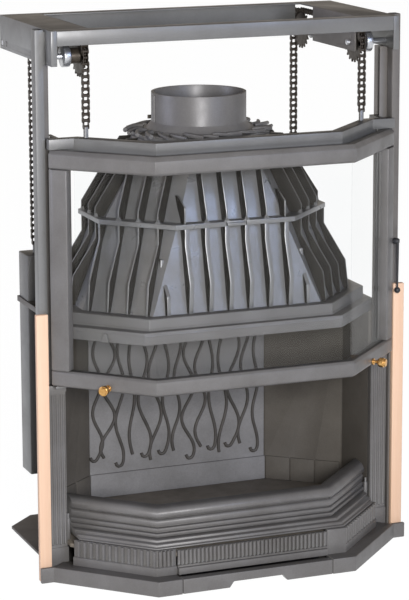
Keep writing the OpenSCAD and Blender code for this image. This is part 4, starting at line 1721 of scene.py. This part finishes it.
@dataclass
class Door:
    """The bay-shaped door: a three-facet frame, its panes, knobs and latch."""

    a: float = 217.0
    y: float = 204.0
    end: float = 383.0
    thick: float = 22.0
    low_z: float = 413.0
    height: float = 485.0
    top_rail: float = 38.0
    low_rail: float = 35.0
    latch_up: float = 245.0
    ball_r: float = 6.6

    def rail(self, name: str, z0: float, z1: float, top: bool) -> bpy.types.Object:
        """A rail of three facets with chamfered long edges.

        Args:
            name: The new object's name.
            z0: Height of its lower edge.
            z1: Height of its upper edge.
            top: Whether it is the top rail, which has a wide chamfer above.

        Returns:
            A closed solid.
        """
        t = -self.thick
        if top:
            section = [(t, z0), (-5, z0), (0, z0 + 5), (0, z1 - 9), (-8, z1), (t, z1)]
        else:
            section = [(t, z0), (-9, z0), (-2, z0 + 3.6), (0, z0 + 8)]
            section += [(0, z1 - 5), (-5, z1), (t, z1)]
        piece = sweep(name, section, bay_stations(self.a, self.y, self.end))
        return self.chamfer_ends(bevel(piece, 1.0, 2, 20))

    def chamfer_ends(self, piece: bpy.types.Object) -> bpy.types.Object:
        """Planes a wide chamfer along the door's two outer upright edges."""
        for side in (-1, 1):
            with editing(piece):
                bpy.ops.mesh.bisect(
                    plane_co=at(side * self.end, self.end - self.a - self.y + 4, 0),
                    plane_no=(side * 0.852, -0.525, 0),
                    clear_outer=True,
                    use_fill=True,
                )
        return piece

    def latch(self) -> bpy.types.Object:
        """The latch: a hub on the right-hand stile and a tapered lever that ends in a ball.

        Returns:
            The latch, hanging down.
        """
        hub = [(0.0, 0.5), (6.0, 0.5), (6.6, 2.0), (6.6, 10.0), (5.2, 13.0), (0.0, 13.0)]
        lever = [(0.0, -101.0), (1.9, -101.0), (2.3, -60.0), (2.9, -8.0), (2.9, 2.0), (0.0, 4.0)]
        ball = []
        for k in range(9):
            angle = math.pi * k / 8
            ball.append((self.ball_r * math.sin(angle), -106 - self.ball_r * math.cos(angle)))
        turn = Matrix.Rotation(math.radians(90), 4, "Y")
        aside = Matrix.Translation((10.5 * MM, 0, 0))
        parts = [lathe("hub", hub, turn, 20)]
        parts.append(lathe("lever", lever, aside, 14))
        parts.append(lathe("ball", ball, aside, 20))
        piece = joined("latch_lever_piece", parts)
        reach = self.end - 4
        foot = at(reach, reach - self.a - self.y, self.low_z + self.latch_up)
        piece.data.transform(Matrix.Translation(foot) @ Matrix.Rotation(math.radians(-45), 4, "Z"))
        return smooth(piece)

    def carriage(self) -> bpy.types.Object:
        """The lifting carriage above the door, with the thin skirt that hides the gap below it.

        Returns:
            The carriage.
        """
        skirt = [(-4, 885), (0, 885), (0, 899), (-4, 899)]
        apron = sweep("carriage_skirt", skirt, bay_stations(201.7, 167, 350))
        return smooth(joined("carriage_piece", [soften("carriage", 0.8), apron]), 30)

    def build(self) -> None:
        """Builds the door's pieces."""
        top_z = self.low_z + self.height
        top = self.rail("door_rail_top_piece", top_z - self.top_rail, top_z, True)
        low = self.rail("door_rail_bottom_piece", self.low_z, self.low_z + self.low_rail, False)
        fit(smooth(top), Look.CAST_GREY, "door_rail_top")
        fit(smooth(low), Look.CAST_GREY, "door_rail_bottom")
        fit(smooth(self.chamfer_ends(soften("door_stiles", 2.0, 3))), Look.CAST_GREY, "door_stiles")
        fit(soften("door_knobs", 0.8, 3), Look.BRASS, "door_knobs")
        fit(self.latch(), Look.BLACK, "latch_lever")
        fit(self.carriage(), Look.PRIMED, "carriage")
        dress("glass_front", Look.GLASS)
        dress("glass_sides", Look.GLASS)


# The studio


@dataclass
class Studio:
    """The white studio: seamless paper, three soft boxes, a pale surround and the camera.

    Places are in metres in the shared frame.
    """

    paper_size: float = 60.0
    paper_tone: str = "#f4f3f1"
    paper_glow: float = 1.05
    glow_share: float = 0.94
    surround_seen: float = 1.03
    surround_lit: float = 0.06
    surround_tint: str = "#ffe8cc"
    gloss_share: float = 0.5
    camera_place: tuple[float, float, float] = (-1.85237, -4.68935, 1.67150)
    camera_aim: tuple[float, float, float] = (0.35916, 0.91265, -0.19513)
    camera_roll: float = -0.193
    camera_lens: float = 146.686
    camera_shift: float = -0.1002

    def paper(self) -> bpy.types.Material:
        """White seamless paper: shows white to the camera and in gloss, and still takes a shadow.

        Returns:
            The paper's material.
        """
        made = bpy.data.materials.new("studio_paper")
        made.use_nodes = True
        tree = made.node_tree
        tree.nodes.clear()
        path = add_node(tree, "ShaderNodeLightPath").outputs
        seen = path["Is Camera Ray"]
        for ray in ("Is Glossy Ray", "Is Transmission Ray"):
            seen = add_node(
                tree, "ShaderNodeMath", {"operation": "MAXIMUM"}, {0: seen, 1: path[ray]}
            ).outputs[0]
        share = add_node(
            tree, "ShaderNodeMath", {"operation": "MULTIPLY"}, {0: seen, 1: self.glow_share}
        )
        matt = add_node(tree, "ShaderNodeBsdfDiffuse", None, {0: linear(self.paper_tone)})
        glow = add_node(tree, "ShaderNodeEmission", None, {0: linear("#ffffff"), 1: self.paper_glow})
        both = add_node(
            tree,
            "ShaderNodeMixShader",
            None,
            {0: share.outputs[0], 1: matt.outputs[0], 2: glow.outputs[0]},
        )
        output = add_node(tree, "ShaderNodeOutputMaterial")
        tree.links.new(both.outputs[0], output.inputs[0])
        return made

    def floor(self) -> None:
        """Lays the paper under the insert."""
        deselect()
        bpy.ops.mesh.primitive_plane_add(size=self.paper_size, location=(0, 0, 0))
        floor = rename(bpy.context.object, "studio_floor")
        floor.data.materials.append(self.paper())

    def lamp(
        self,
        name: str,
        place: tuple[float, float, float],
        target: tuple[float, float, float],
        size: tuple[float, float],
        watts: float,
        colour: str,
    ) -> None:
        """Adds one rectangular soft box.

        Args:
            name: Its name.
            place: Where it hangs.
            target: The point that it faces.
            size: Its width and height.
            watts: Its power.
            colour: The light's colour as sRGB hex.
        """
        data = bpy.data.lights.new(name, "AREA")
        data.shape = "RECTANGLE"
        data.size, data.size_y = size
        data.energy = watts
        data.color = linear(colour)[:3]
        obj = bpy.data.objects.new(name, data)
        obj.location = place
        obj.rotation_euler = (Vector(target) - Vector(place)).to_track_quat("-Z", "Y").to_euler()
        bpy.context.scene.collection.objects.link(obj)

    def surround(self) -> None:
        """Sets the world: white to the camera and through the glass, half so in gloss, else dim."""
        world = bpy.data.worlds.new("studio_surround")
        bpy.context.scene.world = world
        world.use_nodes = True
        tree = world.node_tree
        tree.nodes.clear()
        path = add_node(tree, "ShaderNodeLightPath").outputs
        seen = add_node(
            tree,
            "ShaderNodeMath",
            {"operation": "MAXIMUM"},
            {0: path["Is Camera Ray"], 1: path["Is Transmission Ray"]},
        )
        gloss = add_node(
            tree,
            "ShaderNodeMath",
            {"operation": "MULTIPLY"},
            {0: path["Is Glossy Ray"], 1: self.gloss_share},
        )
        seen = add_node(
            tree, "ShaderNodeMath", {"operation": "MAXIMUM"}, {0: seen.outputs[0], 1: gloss.outputs[0]}
        )
        strength = add_node(
            tree,
            "ShaderNodeMapRange",
            None,
            {"Value": seen.outputs[0], "To Min": self.surround_lit, "To Max": self.surround_seen},
        )
        tint = add_node(
            tree,
            "ShaderNodeMix",
            {"data_type": "RGBA"},
            {0: seen.outputs[0], 6: linear(self.surround_tint), 7: linear("#ffffff")},
        )
        back = add_node(
            tree, "ShaderNodeBackground", None, {0: tint.outputs[2], 1: strength.outputs[0]}
        )
        output = add_node(tree, "ShaderNodeOutputWorld")
        tree.links.new(back.outputs[0], output.inputs[0])

    def lights(self) -> None:
        """A strong soft box in front, a weak cool one beside it, and a cool one from the left."""
        self.lamp("key", (-1.36, -5.05, 1.75), (0.0, 0.0, 0.6), (1.1, 1.1), 238, "#fbfbff")
        self.lamp("sheen", (1.41, -3.68, 2.19), (0.0, 0.0, 0.72), (1.5, 1.3), 32, "#b4ccff")
        self.lamp("left", (-4.3, 0.9, 1.9), (0.0, 0.0, 0.7), (1.6, 1.6), 70, "#d8e0ff")
        self.surround()

    def camera(self) -> None:
        """Sets the camera where the photograph was taken from."""
        data = bpy.data.cameras.new("camera")
        data.sensor_width = 36.0
        data.lens = self.camera_lens
        data.shift_y = self.camera_shift
        data.clip_end = 100
        camera = bpy.data.objects.new("camera", data)
        camera.location = self.camera_place
        aim = Vector(self.camera_aim).normalized().to_track_quat("-Z", "Y").to_matrix().to_4x4()
        roll = Euler((0, 0, math.radians(self.camera_roll))).to_matrix().to_4x4()
        camera.rotation_euler = (aim @ roll).to_euler()
        bpy.context.scene.collection.objects.link(camera)
        bpy.context.scene.camera = camera


def main() -> None:
    """Builds the insert's pieces in order, then the studio."""
    logging.basicConfig(level=logging.INFO, format="%(name)s: %(message)s")
    studio = Studio()
    studio.camera()
    builders: list[Callable[[], None]] = [
        Plinth().build,
        FireFront().build,
        Firebox().build,
        Hood().build,
        SteelFrame().build,
        LiftingGear().build,
        Door().build,
        studio.floor,
        studio.lights,
    ]
    for build in builders:
        build()
    bpy.context.scene.view_settings.view_transform = "Standard"


if __name__ == "__main__":
    main()
